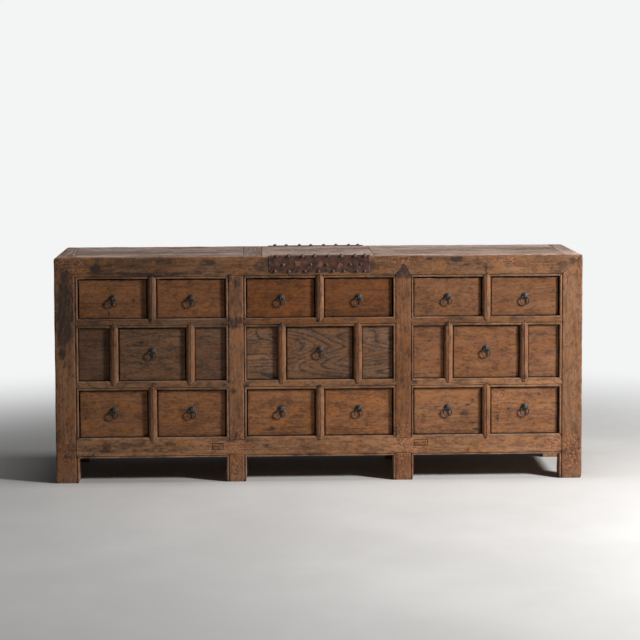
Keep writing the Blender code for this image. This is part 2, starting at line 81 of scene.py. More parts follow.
print("Blender", bpy.app.version_string, "numpy", np.__version__)

# %% [markdown]
# ## Reading the sizes
#
# No size of the carcase is typed again here. The boxes of the frame's nodes give the faces of the posts,
# and the drawers give the openings, because each drawer leaves a known gap round it.
#
# Only the sizes that the frame can't show in a box are named: the gaps, the recess of the drawers and
# the small mouldings.

# %% Sizes from the frame
FIT_GAP = 0.0003
DRAWER_GAP = 0.003
DRAWER_RECESS = 0.013
OVER = 0.02

BAYS = ("left", "centre", "right")
POST_NODES = ("front_end_post_left", "front_mid_post_left", "front_mid_post_right", "front_end_post_right")
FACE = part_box("top_front_rail")[0].y
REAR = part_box("top_back_rail")[1].y
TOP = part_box("top_front_rail")[1].z
RAIL_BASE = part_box("top_front_rail")[0].z
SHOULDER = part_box("top_board_left")[0].z - FIT_GAP

posts_x = [(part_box(node)[0].x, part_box(node)[1].x) for node in POST_NODES]
bay_x = {bay: (posts_x[i][1], posts_x[i + 1][0]) for i, bay in enumerate(BAYS)}


def opening(bay, place):
    """Low and high X and Z of a drawer's opening."""
    low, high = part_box(f"drawer_{bay}_bay_{place}")
    return low.x - DRAWER_GAP, high.x + DRAWER_GAP, low.z - FIT_GAP, high.z + DRAWER_GAP


row_z = {row: opening("centre", place)[2:] for row, place in
         (("bottom", "bottom_left"), ("middle", "middle"), ("top", "top_left"))}
LOWER_RAIL = (row_z["bottom"][1], row_z["middle"][0])
UPPER_RAIL = (row_z["middle"][1], row_z["top"][0])
MUNTIN_WIDTH = opening("centre", "top_right")[0] - opening("centre", "top_left")[1]
rail_low, rail_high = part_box("bottom_front_rail")
front_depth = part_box("front_end_post_left")[1].y - FACE
print("bays", {bay: [round(x, 4) for x in span] for bay, span in bay_x.items()})
print("rows", {row: [round(z, 4) for z in span] for row, span in row_z.items()})

# %% [markdown]
# ## A shorthand for shader nodes
#
# A procedural material is a graph of nodes. Written out call by call it takes pages, so a few small
# helpers put a node down, wire its inputs and give back the output that is needed next. An input is
# either a plain value or another node's output, and the helper sees which.

# %% Node helpers
def fill(tree, sockets, inputs):
    """Gives each input its value or its link. Names of inputs may take _ for a space."""
    for key, value in inputs.items():
        socket = sockets[key if isinstance(key, int) else key.replace("_", " ")]
        if isinstance(value, bpy.types.NodeSocket):
            tree.links.new(value, socket)
        else:
            socket.default_value = value


def put(tree, kind, inputs=None, **settings):
    """A shader node: its settings first, then its inputs as values or links."""
    made = tree.nodes.new("ShaderNode" + kind)
    for key, value in settings.items():
        setattr(made, key, value)
    fill(tree, made.inputs, inputs or {})
    return made


def figured(tree, operation, first, second=0.0):
    """One sum on two values."""
    return put(tree, "Math", {0: first, 1: second}, operation=operation).outputs[0]


def plus(tree, first, second):
    return figured(tree, "ADD", first, second)


def minus(tree, first, second):
    return figured(tree, "SUBTRACT", first, second)


def times(tree, first, second):
    return figured(tree, "MULTIPLY", first, second)


print("helpers for nodes and sums ready")

# %% Ranges, mixes, noise and groups
def ranged(tree, value, low, high, to_low=0.0, to_high=1.0):
    """A value eased from one range to another, and held at its ends."""
    inputs = {"Value": value, "From Min": low, "From Max": high, "To Min": to_low, "To Max": to_high}
    return put(tree, "MapRange", inputs, interpolation_type="SMOOTHSTEP").outputs[0]


def blended(tree, share, first, second, blend="MIX"):
    """Two colours mixed by a share."""
    return put(tree, "Mix", {0: share, 6: first, 7: second}, data_type="RGBA", blend_type=blend).outputs[2]


def cloud(tree, vector, stretch, detail=2.0, roughness=0.5):
    """Noise with its own stretch along each axis of the board, in features a metre."""
    scaled = put(tree, "VectorMath", {0: vector, 1: stretch}, operation="MULTIPLY").outputs[0]
    inputs = {"Vector": scaled, "Scale": 1.0, "Detail": detail, "Roughness": roughness}
    return put(tree, "TexNoise", inputs).outputs[0]


def new_group(name, inputs, outputs):
    """An empty node group with named sockets: the tree, its input node and its output node."""
    tree = bpy.data.node_groups.new(name, "ShaderNodeTree")
    for label, kind, value in inputs:
        socket = tree.interface.new_socket(label, in_out="INPUT", socket_type="NodeSocket" + kind)
        if value is not None:
            socket.default_value = value
    for label in outputs:
        tree.interface.new_socket(label, in_out="OUTPUT", socket_type="NodeSocketFloat")
    return tree, tree.nodes.new("NodeGroupInput").outputs, tree.nodes.new("NodeGroupOutput").inputs


def use(tree, group, **inputs):
    """The outputs of a node group placed in a material."""
    made = put(tree, "Group", node_tree=group)
    fill(tree, made.inputs, inputs)
    return made.outputs


print("helpers for nodes and groups ready")

# %% [markdown]
# ## The figure of elm
#
# Elm is a ring-porous wood: each year starts with a dark line of coarse pores and then pales. Where the
# saw crosses the rings at a low angle, the lines open into long arches.
#
# A contour map does the same. Slow noise, stretched along the board, is a hilly landscape. Its height
# times the number of rings, with the whole number thrown away, is a saw tooth that jumps at each contour
# line, and that tooth is the ring. Finer noises give the fibres, the pores and the mottled polish that
# old wood gets. The group reads board coordinates: X runs along the grain, Y across the face, Z into it.

# %% Group: elm figure
elm_figure, given, taken = new_group(
    "Elm figure",
    [("Grain", "Vector", None), ("Ring Density", "Float", 22.0)],
    ["Rings", "Streaks", "Fibre", "Pores", "Checks", "Mottle", "Blush", "Dull", "Patches", "Height"],
)
grain = given["Grain"]
hills = cloud(elm_figure, grain, (0.9, 5.2, 5.2), 1.4, 0.45)
tooth = figured(elm_figure, "FRACT", times(elm_figure, hills, given["Ring Density"]))
early = ranged(elm_figure, tooth, 0.0, 0.42, 1.0, 0.0)
late = ranged(elm_figure, tooth, 0.88, 1.0, 0.0, 1.0)
rings = figured(elm_figure, "MAXIMUM", early, late)
streaks = cloud(elm_figure, grain, (7.0, 85.0, 85.0), 5.0, 0.68)
fibre = cloud(elm_figure, grain, (9.0, 330.0, 330.0), 2.5, 0.6)
blush = cloud(elm_figure, grain, (11.0, 21.0, 21.0), 4.0, 0.62)
flecks = ranged(elm_figure, cloud(elm_figure, grain, (45.0, 1100.0, 1100.0), 1.0), 0.56, 0.68)
pores = times(elm_figure, flecks, ranged(elm_figure, rings, 0.0, 1.0, 0.25, 1.0))
mottle = cloud(elm_figure, grain, (58.0, 120.0, 120.0), 5.0, 0.74)
dull = cloud(elm_figure, grain, (19.0, 30.0, 30.0), 6.0, 0.72)
patches = cloud(elm_figure, grain, (3.0, 8.5, 8.5), 3.0, 0.6)
# A check opens where a slow noise crosses its middle value, and only in dry places
split = minus(elm_figure, cloud(elm_figure, grain, (1.9, 30.0, 30.0), 2.0, 0.5), 0.5)
split = figured(elm_figure, "ABSOLUTE", split)
dry = ranged(elm_figure, cloud(elm_figure, grain, (5.0, 9.0, 9.0), 2.0), 0.52, 0.60)
checks = times(elm_figure, ranged(elm_figure, split, 0.003, 0.009, 1.0, 0.0), dry)
height = times(elm_figure, fibre, 0.5)
for layer, share in ((checks, 1.5), (rings, 0.35), (pores, 0.6)):
    height = minus(elm_figure, height, times(elm_figure, layer, share))
height = plus(elm_figure, height, times(elm_figure, mottle, 0.7))
for label, value in (("Rings", rings), ("Streaks", streaks), ("Fibre", fibre), ("Pores", pores),
                     ("Checks", checks), ("Mottle", mottle), ("Blush", blush), ("Dull", dull),
                     ("Patches", patches), ("Height", height)):
    elm_figure.links.new(value, taken[label])
print("elm figure:", len(elm_figure.nodes), "nodes")

# %% [markdown]
# ## Wear, grime, stains and painted shade
#
# A century of hands polishes the arrises pale and leaves dirt in the hollows; the darkening of the hollows
# is partly that dirt and partly painted shade. Blender can guess edges in the shader, but that guess depends
# on the render engine and is lost in an export. Here each mesh carries its own numbers instead: "edge" is
# above zero on an arris and below zero in a groove, and a second number holds soft blotches together with
# painted shade on the walls of the gaps and along the muntins' grooves. The groups only roughen those
# numbers with noise, so that no mask ends in a clean line.

# %% Group: wear, and dirt with painted shade in the hollows
wear_and_hollows, given, taken = new_group(
    "Wear and hollows", [("Grain", "Vector", None), ("Edge", "Float", 0.0), ("Raggedness", "Float", 0.5)],
    ["Worn", "Grime And Shade"],
)
speck = minus(wear_and_hollows, cloud(wear_and_hollows, given["Grain"], (60.0, 170.0, 170.0), 4.0, 0.7), 0.5)
rag = times(wear_and_hollows, speck, given["Raggedness"])
touched = cloud(wear_and_hollows, given["Grain"], (7.0, 16.0, 16.0), 3.0, 0.6)
touched = ranged(wear_and_hollows, touched, 0.38, 0.62, 0.25, 1.0)
high = plus(wear_and_hollows, given["Edge"], times(wear_and_hollows, rag, 2.0))
# Below zero the bend is a hollow, darkened partly as dirt and partly as painted shade
low = minus(wear_and_hollows, times(wear_and_hollows, rag, 1.4), given["Edge"])
wear_and_hollows.links.new(times(wear_and_hollows, ranged(wear_and_hollows, high, 0.10, 0.46), touched), taken["Worn"])
wear_and_hollows.links.new(ranged(wear_and_hollows, low, 0.06, 0.36), taken["Grime And Shade"])
print("hand wear:", len(wear_and_hollows.nodes), "nodes")

# %% Groups: blotches with painted shade, and nicks
# The Stain input holds placed blotches and also painted shade on the walls of the gaps and in the muntins'
# grooves
blotch_and_shade_group, given, taken = new_group(
    "Blotches and painted shade", [("Grain", "Vector", None), ("Stain", "Float", 0.0)], ["Stained"]
)
bloom = cloud(blotch_and_shade_group, given["Grain"], (26.0, 80.0, 80.0), 6.0, 0.72)
eaten = times(blotch_and_shade_group, minus(blotch_and_shade_group, bloom, 0.5), 3.0)
soaked = times(blotch_and_shade_group, given["Stain"], plus(blotch_and_shade_group, eaten, 1.0))
blotch_and_shade_group.links.new(ranged(blotch_and_shade_group, soaked, 0.12, 0.66), taken["Stained"])

nicks, given, taken = new_group(
    "Nicks", [("Grain", "Vector", None), ("Spacing", "Float", 30.0), ("Share", "Float", 0.3)], ["Nicked"]
)
dots = put(nicks, "TexVoronoi", {"Vector": given["Grain"], "Scale": given["Spacing"]}, feature="F1")
dot = ranged(nicks, dots.outputs["Distance"], 0.03, 0.13, 1.0, 0.0)
chosen = put(nicks, "SeparateColor", {0: dots.outputs["Color"]}).outputs[0]
here = figured(nicks, "LESS_THAN", chosen, given["Share"])
nicks.links.new(times(nicks, dot, here), taken["Nicked"])
print("groups:", [group.name for group in bpy.data.node_groups])

# %% [markdown]
# ## The elm finish
#
# All the wood is one kind, waxed and handled for a long time, but posts, drawers, top and insides have
# aged apart. One function builds the material and each call gives it its own colours.
#
# The order of the layers is the order in which they came to be: the wood's own colour, the mottled
# polish, the piece's own tone, places that feet have chafed, then the arrises rubbed pale, stains, dirt in
# the grooves and nicks. The black of the stains also paints shade on the walls of the gaps and along the
# muntins' grooves, and the dirt in the grooves is partly painted shade. The last things to be wired are the
# roughness and the bump, from the same masks, so that a pale worn edge is also a smoother one.

# %% Material helpers
def sheen_of(tree, **layers):
    """Sets or wires the Principled shader of a material."""
    fill(tree, tree.nodes["Principled BSDF"].inputs, layers)


def new_material(name):
    material = bpy.data.materials.new(name)
    material.use_nodes = True
    return material, material.node_tree


def read(tree, name, output="Fac"):
    """A number that the mesh carries."""
    return put(tree, "Attribute", attribute_name=name, attribute_type="GEOMETRY").outputs[output]


def layered(tree, colour, layers):
    """A colour under layers, each a share and its own colour."""
    for share, tone in layers:
        colour = blended(tree, share, colour, (*tone, 1))
    return colour


print("material helpers ready")

# %% Material: elm
PITTED_WOOD = (0.070, 0.022, 0.012)
FLAKED_WOOD = (0.42, 0.215, 0.115)
# Black for the blotches and for the painted shade on gap walls and in the muntins' grooves
BLOTCH_AND_SHADE_BLACK = (0.019, 0.016, 0.015)
# Dirt and painted shade in the grooves
GROOVE_DIRT_AND_SHADE = (0.016, 0.010, 0.007)
NICK_BLACK = (0.014, 0.009, 0.006)
BUMP_DEPTH = 0.0012


def elm(name, deep, body, pale, flame, rose, worn, rings=0.16, streaks=0.75, patches=1.0, ring_density=22.0,
        roughness=(0.50, 0.76), wear=0.55, dirty=0.5, cracks=1.0, bump=0.5, board_coordinates=True):
    """A waxed elm: deep to pale is the wood, flame and rose the glow in it, worn its rubbed arrises."""
    material, tree = new_material(name)
    if board_coordinates:
        grain = read(tree, "grain", "Vector")
    else:
        grain = put(tree, "TexCoord").outputs["Object"]
    wood = use(tree, elm_figure, Grain=grain, Ring_Density=ring_density)
    # Rubbed arrises, and hollows darkened partly by dirt and partly by painted shade
    rubbed = use(tree, wear_and_hollows, Grain=grain, Edge=read(tree, "edge"))
    # Blotches, and painted shade on the walls of the gaps and in the muntins' grooves
    stain_and_shade = use(tree, blotch_and_shade_group, Grain=grain, Stain=read(tree, "stain_and_shade"))
    nick = use(tree, nicks, Grain=grain, Spacing=34.0, Share=0.22)

    def around(value, share):
        """A noise as a swing round zero, with its share."""
        return times(tree, minus(tree, value, 0.5), share)

    level = plus(tree, around(wood["Patches"], patches), 0.5)
    level = plus(tree, level, around(wood["Streaks"], streaks))
    level = plus(tree, level, around(wood["Fibre"], 0.64))
    level = minus(tree, level, times(tree, wood["Rings"], rings))
    ramp = put(tree, "ValToRGB", {0: level})
    stops = ramp.color_ramp.elements
    stops[0].position, stops[0].color = 0.10, (*deep, 1)
    stops[1].position, stops[1].color = 0.86, (*pale, 1)
    stops.new(0.46).color = (*body, 1)

    splits = times(tree, wood["Checks"], cracks)
    lines = figured(tree, "MAXIMUM", times(tree, wood["Pores"], 0.5), splits)
    dulled = [0.55 * d + 0.16 * b for d, b in zip(deep, body)]
    colour = layered(tree, ramp.outputs[0], (
        (ranged(tree, wood["Blush"], 0.46, 0.64, 0.0, 0.62), flame),
        (ranged(tree, wood["Blush"], 0.46, 0.32, 0.0, 0.55), rose),
        (ranged(tree, wood["Dull"], 0.49, 0.62, 0.0, dirty), dulled),
        (ranged(tree, wood["Mottle"], 0.51, 0.66, 0.0, 0.50), pale),
        (ranged(tree, wood["Mottle"], 0.47, 0.34, 0.0, 0.72), deep),
        (lines, [0.4 * d for d in deep]),
    ))
    if board_coordinates:
        colour = blended(tree, 1.0, colour, read(tree, "tint", "Color"), "MULTIPLY")

    crumbs = cloud(tree, grain, (120.0, 150.0, 150.0), 4.0, 0.7)
    rough = times(tree, read(tree, "chafe"), plus(tree, around(wood["Mottle"], 3.0), 1.0))
    rough = ranged(tree, rough, 0.15, 0.55)
    pitted = times(tree, ranged(tree, crumbs, 0.52, 0.62), rough)
    flaked = times(tree, ranged(tree, crumbs, 0.49, 0.38), rough)
    colour = layered(tree, colour, (
        (times(tree, pitted, 0.72), PITTED_WOOD),
        (times(tree, flaked, 0.55), FLAKED_WOOD),
        (times(tree, rubbed["Worn"], wear), worn),
        # Black for blotches and painted shade in gaps, then dirt and painted shade in the hollows
        (times(tree, stain_and_shade[0], 0.84), BLOTCH_AND_SHADE_BLACK),
        (times(tree, rubbed["Grime And Shade"], 0.9), GROOVE_DIRT_AND_SHADE),
        (times(tree, nick[0], 0.75), NICK_BLACK),
    ))

    gloss = ranged(tree, wood["Mottle"], 0.3, 0.7, roughness[1], roughness[0])
    gloss = plus(tree, gloss, times(tree, wood["Pores"], 0.2))
    gloss = minus(tree, gloss, times(tree, rubbed["Worn"], 0.08))
    relief = minus(tree, minus(tree, wood["Height"], nick[0]), pitted)
    normal = put(tree, "Bump", {"Strength": bump, "Distance": BUMP_DEPTH, "Height": relief}).outputs[0]
    sheen_of(tree, Base_Color=colour, Roughness=gloss, Normal=normal, Specular_IOR_Level=0.22)
    return material


print("elm can be made in any of its tones")

# %% The wood finishes
WORN = (0.37, 0.225, 0.138)
DARK_DRAWER = ((0.046, 0.028, 0.018), (0.138, 0.072, 0.040), (0.250, 0.133, 0.071), (0.173, 0.074, 0.030),
               (0.107, 0.061, 0.042), (0.306, 0.180, 0.104))
finishes = {
    "posts": elm(
        "old_elm_posts", (0.085, 0.036, 0.018), (0.225, 0.105, 0.052), (0.335, 0.175, 0.092),
        (0.290, 0.114, 0.041), (0.215, 0.080, 0.042), WORN, rings=0.10, wear=0.42, cracks=0.6),
    "rails": elm(
        "old_elm_rails", (0.080, 0.034, 0.017), (0.225, 0.108, 0.051), (0.345, 0.185, 0.094),
        (0.315, 0.122, 0.039), (0.235, 0.088, 0.045), WORN, rings=0.12, wear=0.60, cracks=0.6),
    "panels": elm(
        "old_elm_panels", (0.070, 0.029, 0.013), (0.200, 0.084, 0.037), (0.300, 0.144, 0.067),
        (0.270, 0.096, 0.032), (0.190, 0.067, 0.035), WORN, rings=0.08, cracks=0.2),
    "dark_panels": elm(
        "old_elm_dark_panels", (0.054, 0.029, 0.018), (0.132, 0.068, 0.039), (0.221, 0.116, 0.064),
        (0.175, 0.068, 0.028), (0.124, 0.060, 0.039), (0.278, 0.165, 0.094), rings=0.10, streaks=1.1,
        cracks=0.2),
    "drawers": elm(
        "old_elm_drawers", (0.070, 0.028, 0.012), (0.200, 0.084, 0.036), (0.305, 0.142, 0.066),
        (0.290, 0.112, 0.032), (0.195, 0.070, 0.036), (0.42, 0.27, 0.165), rings=0.09, wear=0.75,
        cracks=0.15),
    "dark_drawers": elm(
        "old_elm_dark_drawers", *DARK_DRAWER, rings=0.20, streaks=1.0, wear=0.6, ring_density=30.0,
        cracks=0.15),
    "striped": elm(
        "old_elm_striped", *DARK_DRAWER, rings=0.40, streaks=1.0, wear=0.6, ring_density=42.0, cracks=0.15),
    # Greyed wood, made paler still by painted sheen of a top seen at a low angle
    "top": elm(
        "greyed_elm_top_and_sheen", (0.142, 0.095, 0.074), (0.361, 0.255, 0.208), (0.554, 0.431, 0.373),
        (0.387, 0.248, 0.182), (0.324, 0.211, 0.170), (0.522, 0.421, 0.357), rings=0.16, streaks=1.2,
        patches=2.2, roughness=(0.55, 0.80)),
    "inner": elm(
        "bare_elm", (0.15, 0.088, 0.050), (0.27, 0.175, 0.105), (0.40, 0.28, 0.18),
        (0.30, 0.18, 0.10), (0.25, 0.15, 0.095), (0.42, 0.31, 0.21), roughness=(0.68, 0.9)),
    "carcase": elm(
        "bare_elm_inside", (0.13, 0.078, 0.045), (0.23, 0.15, 0.09), (0.34, 0.24, 0.155),
        (0.26, 0.155, 0.085), (0.21, 0.13, 0.085), (0.34, 0.24, 0.155), roughness=(0.75, 0.92),
        board_coordinates=False),
}
print("wood finishes:", sorted(finishes))

# %% [markdown]
# ## Forged iron
#
# The rings, bosses, band and studs are wrought iron: nearly black scale from the forge, a purple-brown
# skin of old oxide, and orange rust where damp stood. Rust is not metal any more, so the same mask that
# colours it also takes the Metallic value down and the roughness up. High spots are rubbed bright.

# %% Material: iron
RUST_DARK = (0.10, 0.038, 0.020)
RUST_BRIGHT = (0.27, 0.095, 0.038)
RUBBED_IRON = (0.19, 0.165, 0.155)
# Dirt and painted shade in the hollows of the iron
IRON_DIRT_AND_SHADE = (0.010, 0.008, 0.007)


def forged_iron(name, skin, rust_share, rust_start, metal_share):
    material, tree = new_material(name)
    grain = read(tree, "grain", "Vector")
    wear = use(tree, wear_and_hollows, Grain=grain, Edge=read(tree, "edge"), Raggedness=0.4)
    hammered = cloud(tree, grain, (62.0, 62.0, 62.0), 4.0, 0.62)
    pits = cloud(tree, grain, (700.0, 700.0, 700.0), 3.0, 0.6)
    damp = cloud(tree, grain, (42.0, 42.0, 42.0), 4.0, 0.6)
    damp = plus(tree, damp, times(tree, read(tree, "stain_and_shade"), 0.34))
    rust = times(tree, ranged(tree, damp, rust_start, rust_start + 0.14), rust_share)
    dark = (*[0.3 * c for c in skin], 1)
    scale = blended(tree, ranged(tree, hammered, 0.34, 0.62), dark, (*skin, 1))
    orange = blended(tree, ranged(tree, pits, 0.35, 0.65), (*RUST_DARK, 1), (*RUST_BRIGHT, 1))
    colour = layered(tree, blended(tree, rust, scale, orange), (
        (times(tree, wear["Worn"], 0.35), RUBBED_IRON),
        # Dirt and painted shade in the hollows
        (times(tree, wear["Grime And Shade"], 0.7), IRON_DIRT_AND_SHADE),
    ))
    metal = ranged(tree, rust, 0.0, 0.6, metal_share, 0.0)
    gloss = ranged(tree, pits, 0.3, 0.7, 0.40, 0.66)
    gloss = plus(tree, gloss, times(tree, rust, 0.35))
    relief = plus(tree, times(tree, hammered, 2.2), pits)
    normal = put(tree, "Bump", {"Strength": 0.40, "Distance": 0.0009, "Height": relief}).outputs[0]
    sheen_of(tree, Base_Color=colour, Roughness=gloss, Metallic=metal, Normal=normal)
    return material


finishes["iron"] = forged_iron("forged_iron", (0.092, 0.036, 0.022), 0.85, 0.57, 0.30)
finishes["pull_iron"] = forged_iron("handled_iron", (0.030, 0.020, 0.016), 0.35, 0.60, 0.10)
print("iron finishes:", finishes["iron"].name, finishes["pull_iron"].name)

# %% [markdown]
# ## Timber with beaded edges
#
# The rails and posts are long pieces with one cross-section, so their mesh is that outline drawn along
# the length. A curve with a bevel object would give the same shape, but the rings of points are needed
# close together, because the next step wears the arrises down by moving points.
#
# A bead is a half round that a shaped plane cuts along an edge. One bead frames every opening, and a
# sharp groove beside it, the quirk, sets it off from the flat face.

# %% Outlines of the timbers
BEAD = 0.0090
END_POST_BEAD = 0.0100
LOWER_BEAD = 0.0062
BEAD_SINK = 0.0030
BEAD_STEPS = 8
QUIRK = 0.0020
QUIRK_DEPTH = 0.0046
QUIRK_LIP = 0.0006
QUIRK_ROUND = 0.0010
ARRIS = 0.0028
ARRIS_STEPS = 3
# How far the next row of points lies from an arris or a bead, so that the flat face stays flat
SUPPORT = 0.0028
STRIP = BEAD + QUIRK
CELL = 0.008


def bead_line(width):
    """From the edge inwards, as (distance, out): the bead, its groove, then up to the flat face."""
    line = []
    for step in range(BEAD_STEPS + 1):
        turn = math.pi * step / BEAD_STEPS
        line.append((width * (1 - math.cos(turn)) / 2, -BEAD_SINK * (1 - math.sin(turn))))
    line.append((width + 0.4 * QUIRK, -QUIRK_DEPTH))
    end = width + QUIRK
    return line + [(end, -QUIRK_LIP), (end + QUIRK_ROUND, 0.0), (end + QUIRK_ROUND + SUPPORT, 0.0)]


def arris_line(radius):
    """A rounded arris, from the side of the timber over to its face."""
    turns = [math.pi / 2 * step / ARRIS_STEPS for step in reversed(range(ARRIS_STEPS + 1))]
    line = [(radius * (1 - math.sin(turn)), -radius * (1 - math.cos(turn))) for turn in turns]
    return line + [(radius + SUPPORT, 0.0), (radius + 3 * SUPPORT, 0.0)]


def face_line(width, low_bead=0.0, high_bead=0.0, arris=ARRIS):
    """(across, out) points over a face, from its low edge to its high one. An edge has a bead or an arris."""
    low = bead_line(low_bead) if low_bead else arris_line(arris)
    high = bead_line(high_bead) if high_bead else arris_line(arris)
    high = [(width - across, out) for across, out in reversed(high)]
    room = high[0][0] - low[-1][0]
    count = max(1, round(room / CELL))
    flat = [(low[-1][0] + room * step / count, 0.0) for step in range(1, count)]
    return low + flat + high


def timber_outline(width, thickness, low_bead=0.0, high_bead=0.0, arris=ARRIS):
    """The closed cross-section of a timber: its face, its sides and its plain back."""
    front = face_line(width, low_bead, high_bead, arris)
    depths = [front[-1][1] - SUPPORT, front[-1][1] - 3 * SUPPORT, -thickness / 2, ARRIS - thickness]
    back = [(width, depth) for depth in depths]
    back += [(width - ARRIS, -thickness), (width / 2, -thickness), (ARRIS, -thickness)]
    return front + back + [(0.0, depth) for depth in reversed(depths)]


post_width = posts_x[1][1] - posts_x[1][0]
print("points round a middle post:", len(timber_outline(post_width, front_depth, BEAD, BEAD)))

# %% Swept timbers
LENGTH_STEP = 0.008
UPRIGHT = ((0, 0, 1), (1, 0, 0), (0, -1, 0))
LENGTHWISE = ((1, 0, 0), (0, 0, 1), (0, -1, 0))
REAR_UPRIGHT = ((0, 0, 1), (1, 0, 0), (0, 1, 0))
REAR_LENGTHWISE = ((1, 0, 0), (0, 0, 1), (0, 1, 0))
TOP_LENGTHWISE = ((1, 0, 0), (0, 1, 0), (0, 0, 1))
TOP_CROSSWISE = ((0, 1, 0), (1, 0, 0), (0, 0, 1))


def mesh_of(name, points, faces, place=None):
    """A closed mesh with its faces turned outwards. place carries board axes to the room's axes."""
    mesh = bpy.data.meshes.new(name)
    mesh.from_pydata([tuple(point) for point in points], [], faces)
    if place is not None:
        mesh.transform(place)
    bm = bmesh.new()
    bm.from_mesh(mesh)
    bmesh.ops.recalc_face_normals(bm, faces=bm.faces)
    bm.to_mesh(mesh)
    bm.free()
    return mesh


def axes(origin, along, across, out):
    """The matrix of a board: where its corner lies, and where its grain, width and face point."""
    columns = [Vector(along), Vector(across), Vector(out), Vector(origin)]
    return Matrix([[column[row] for column in columns] for row in range(3)] + [[0, 0, 0, 1]])


def swept(outline, length):
    """An outline drawn along a length: points as (along, across, out), and faces."""
    count = max(2, round(length / LENGTH_STEP))
    stations = [0.0, SUPPORT] + [length * i / count for i in range(1, count)] + [length - SUPPORT, length]
    ring = len(outline)
    points = [(station, across, out) for station in stations for across, out in outline]
    faces = []
    for i in range(len(stations) - 1):
        for j in range(ring):
            k = (j + 1) % ring
            faces.append((i * ring + j, i * ring + k, (i + 1) * ring + k, (i + 1) * ring + j))
    faces.append(tuple(range(ring)))
    faces.append(tuple(range(len(points) - ring, len(points))))
    return points, faces


swept_points = swept(timber_outline(post_width, front_depth, BEAD, BEAD), RAIL_BASE)[0]
print("points of a middle post before its joints are cut:", len(swept_points))

# %% [markdown]
# ## Boards and turned parts
#
# Not everything has a moulding. Drawer fronts, panels and boards are squared, with their arrises only
# just broken, so a grid over each face is enough. Its lines lie close together near the edges, because
# that is where wear shows.
#
# Bosses and the heads of studs are round, and a profile turned round its axis gives them, as a lathe
# would. A ring is a rod bent to a hoop, so a small circle is carried along a larger one.

# %% Squared boards
def grid_lines(length, radius, cell):
    """Lines of a grid: close at both edges, even in between."""
    near = [0.0, 0.3 * radius, radius, radius + SUPPORT, radius + 3 * SUPPORT]
    near = [x for x in near if x < 0.48 * length]
    room = length - 2 * near[-1]
    count = max(1, round(room / cell))
    middle = [near[-1] + room * i / count for i in range(1, count)]
    return near + middle + [length - x for x in reversed(near)]


def block(size, radius, cell):
    """A board with rounded arrises and a grid on its faces: points as (along, across, out), and faces."""
    lines = [grid_lines(length, radius, cell) for length in size]
    index, points, faces = {}, [], []

    def corner(key):
        if key not in index:
            index[key] = len(points)
            points.append([lines[axis][key[axis]] for axis in range(3)])
        return index[key]

    for axis in range(3):
        first, second = [a for a in range(3) if a != axis]
        for side in (0, len(lines[axis]) - 1):
            for i in range(len(lines[first]) - 1):
                for j in range(len(lines[second]) - 1):
                    quad = []
                    for di, dj in ((0, 0), (1, 0), (1, 1), (0, 1)):
                        key = [side] * 3
                        key[first], key[second] = i + di, j + dj
                        quad.append(corner(tuple(key)))
                    faces.append(quad)
    points = np.array(points)
    core = np.clip(points, radius, np.array(size) - radius)
    away = points - core
    return core + away * (radius / np.linalg.norm(away, axis=1))[:, None], faces


print("a block of one board:", len(block((0.3, 0.2, 0.02), 0.002, 0.02)[1]), "faces")

# %% Turned and bent forms
def circle(radius, steps):
    """Points round a circle, as pairs."""
    turns = [2 * math.pi * step / steps for step in range(steps)]
    return [(radius * math.cos(turn), radius * math.sin(turn)) for turn in turns]


def turned(profile, steps):
    """A turned form: (radius, out) from the first point on the axis to the last, round the out axis."""
    points = [(0.0, 0.0, profile[0][1])]
    for radius, out in profile[1:-1]:
        points += [(x, y, out) for x, y in circle(radius, steps)]
    points.append((0.0, 0.0, profile[-1][1]))
    rows, last, faces = len(profile) - 2, len(points) - 1, []
    for step in range(steps):
        after = (step + 1) % steps
        faces.append((0, 1 + step, 1 + after))
        faces.append((last, last - steps + step, last - steps + after))
        for row in range(rows - 1):
            base = 1 + row * steps
            faces.append((base + step, base + after, base + steps + after, base + steps + step))
    return points, faces


def bent_rod(centre_line, radius, sides):
    """A closed hoop of wire: rings of points round a closed line that lies in the along-across plane."""
    points, faces, count = [], [], len(centre_line)
    out = Vector((0, 0, 1))
    for i in range(count):
        here = Vector(centre_line[i])
        tangent = (Vector(centre_line[(i + 1) % count]) - Vector(centre_line[i - 1])).normalized()
        side = tangent.cross(out)
        for k in range(sides):
            turn = 2 * math.pi * k / sides
            points.append(here + radius * (math.cos(turn) * side + math.sin(turn) * out))
            a, b = i * sides, ((i + 1) % count) * sides
            faces.append((a + k, a + (k + 1) % sides, b + (k + 1) % sides, b + k))
    return points, faces


print("a turned cone:", len(turned([(0, 0.0), (0.01, 0.0), (0, 0.01)], 12)[1]), "faces")

# %% [markdown]
# ## Cutting the joints
#
# A joiner lays out a shoulder and saws to it. Here a cutter is a prism, an outline in X and Z with a
# depth, and a Boolean takes it away. The exact solver is slower than the fast one, but it never drops a
# cut when two faces meet edge on, which happens at every shoulder.
#
# All the mouldings meet in mitres. A rail ends in a thin tongue, cut at 45 degrees on both sides, that
# lies in a pocket in the post, and a muntin ends in a point that lies in a pocket in the rail. So one
# description of a tongue gives both the cuts on the piece that has it and the pocket for it.

# %% Cutters
THROUGH = 5 * OVER


def rectangle(low_x, low_z, high_x, high_z):
    return [(low_x, low_z), (high_x, low_z), (high_x, high_z), (low_x, high_z)]


def right_through(outline, at_rear=False):
    """A cutter that goes right through the front of the frame, or through its rear."""
    if at_rear:
        return outline, REAR - THROUGH, REAR + OVER
    return outline, FACE - OVER, FACE + THROUGH


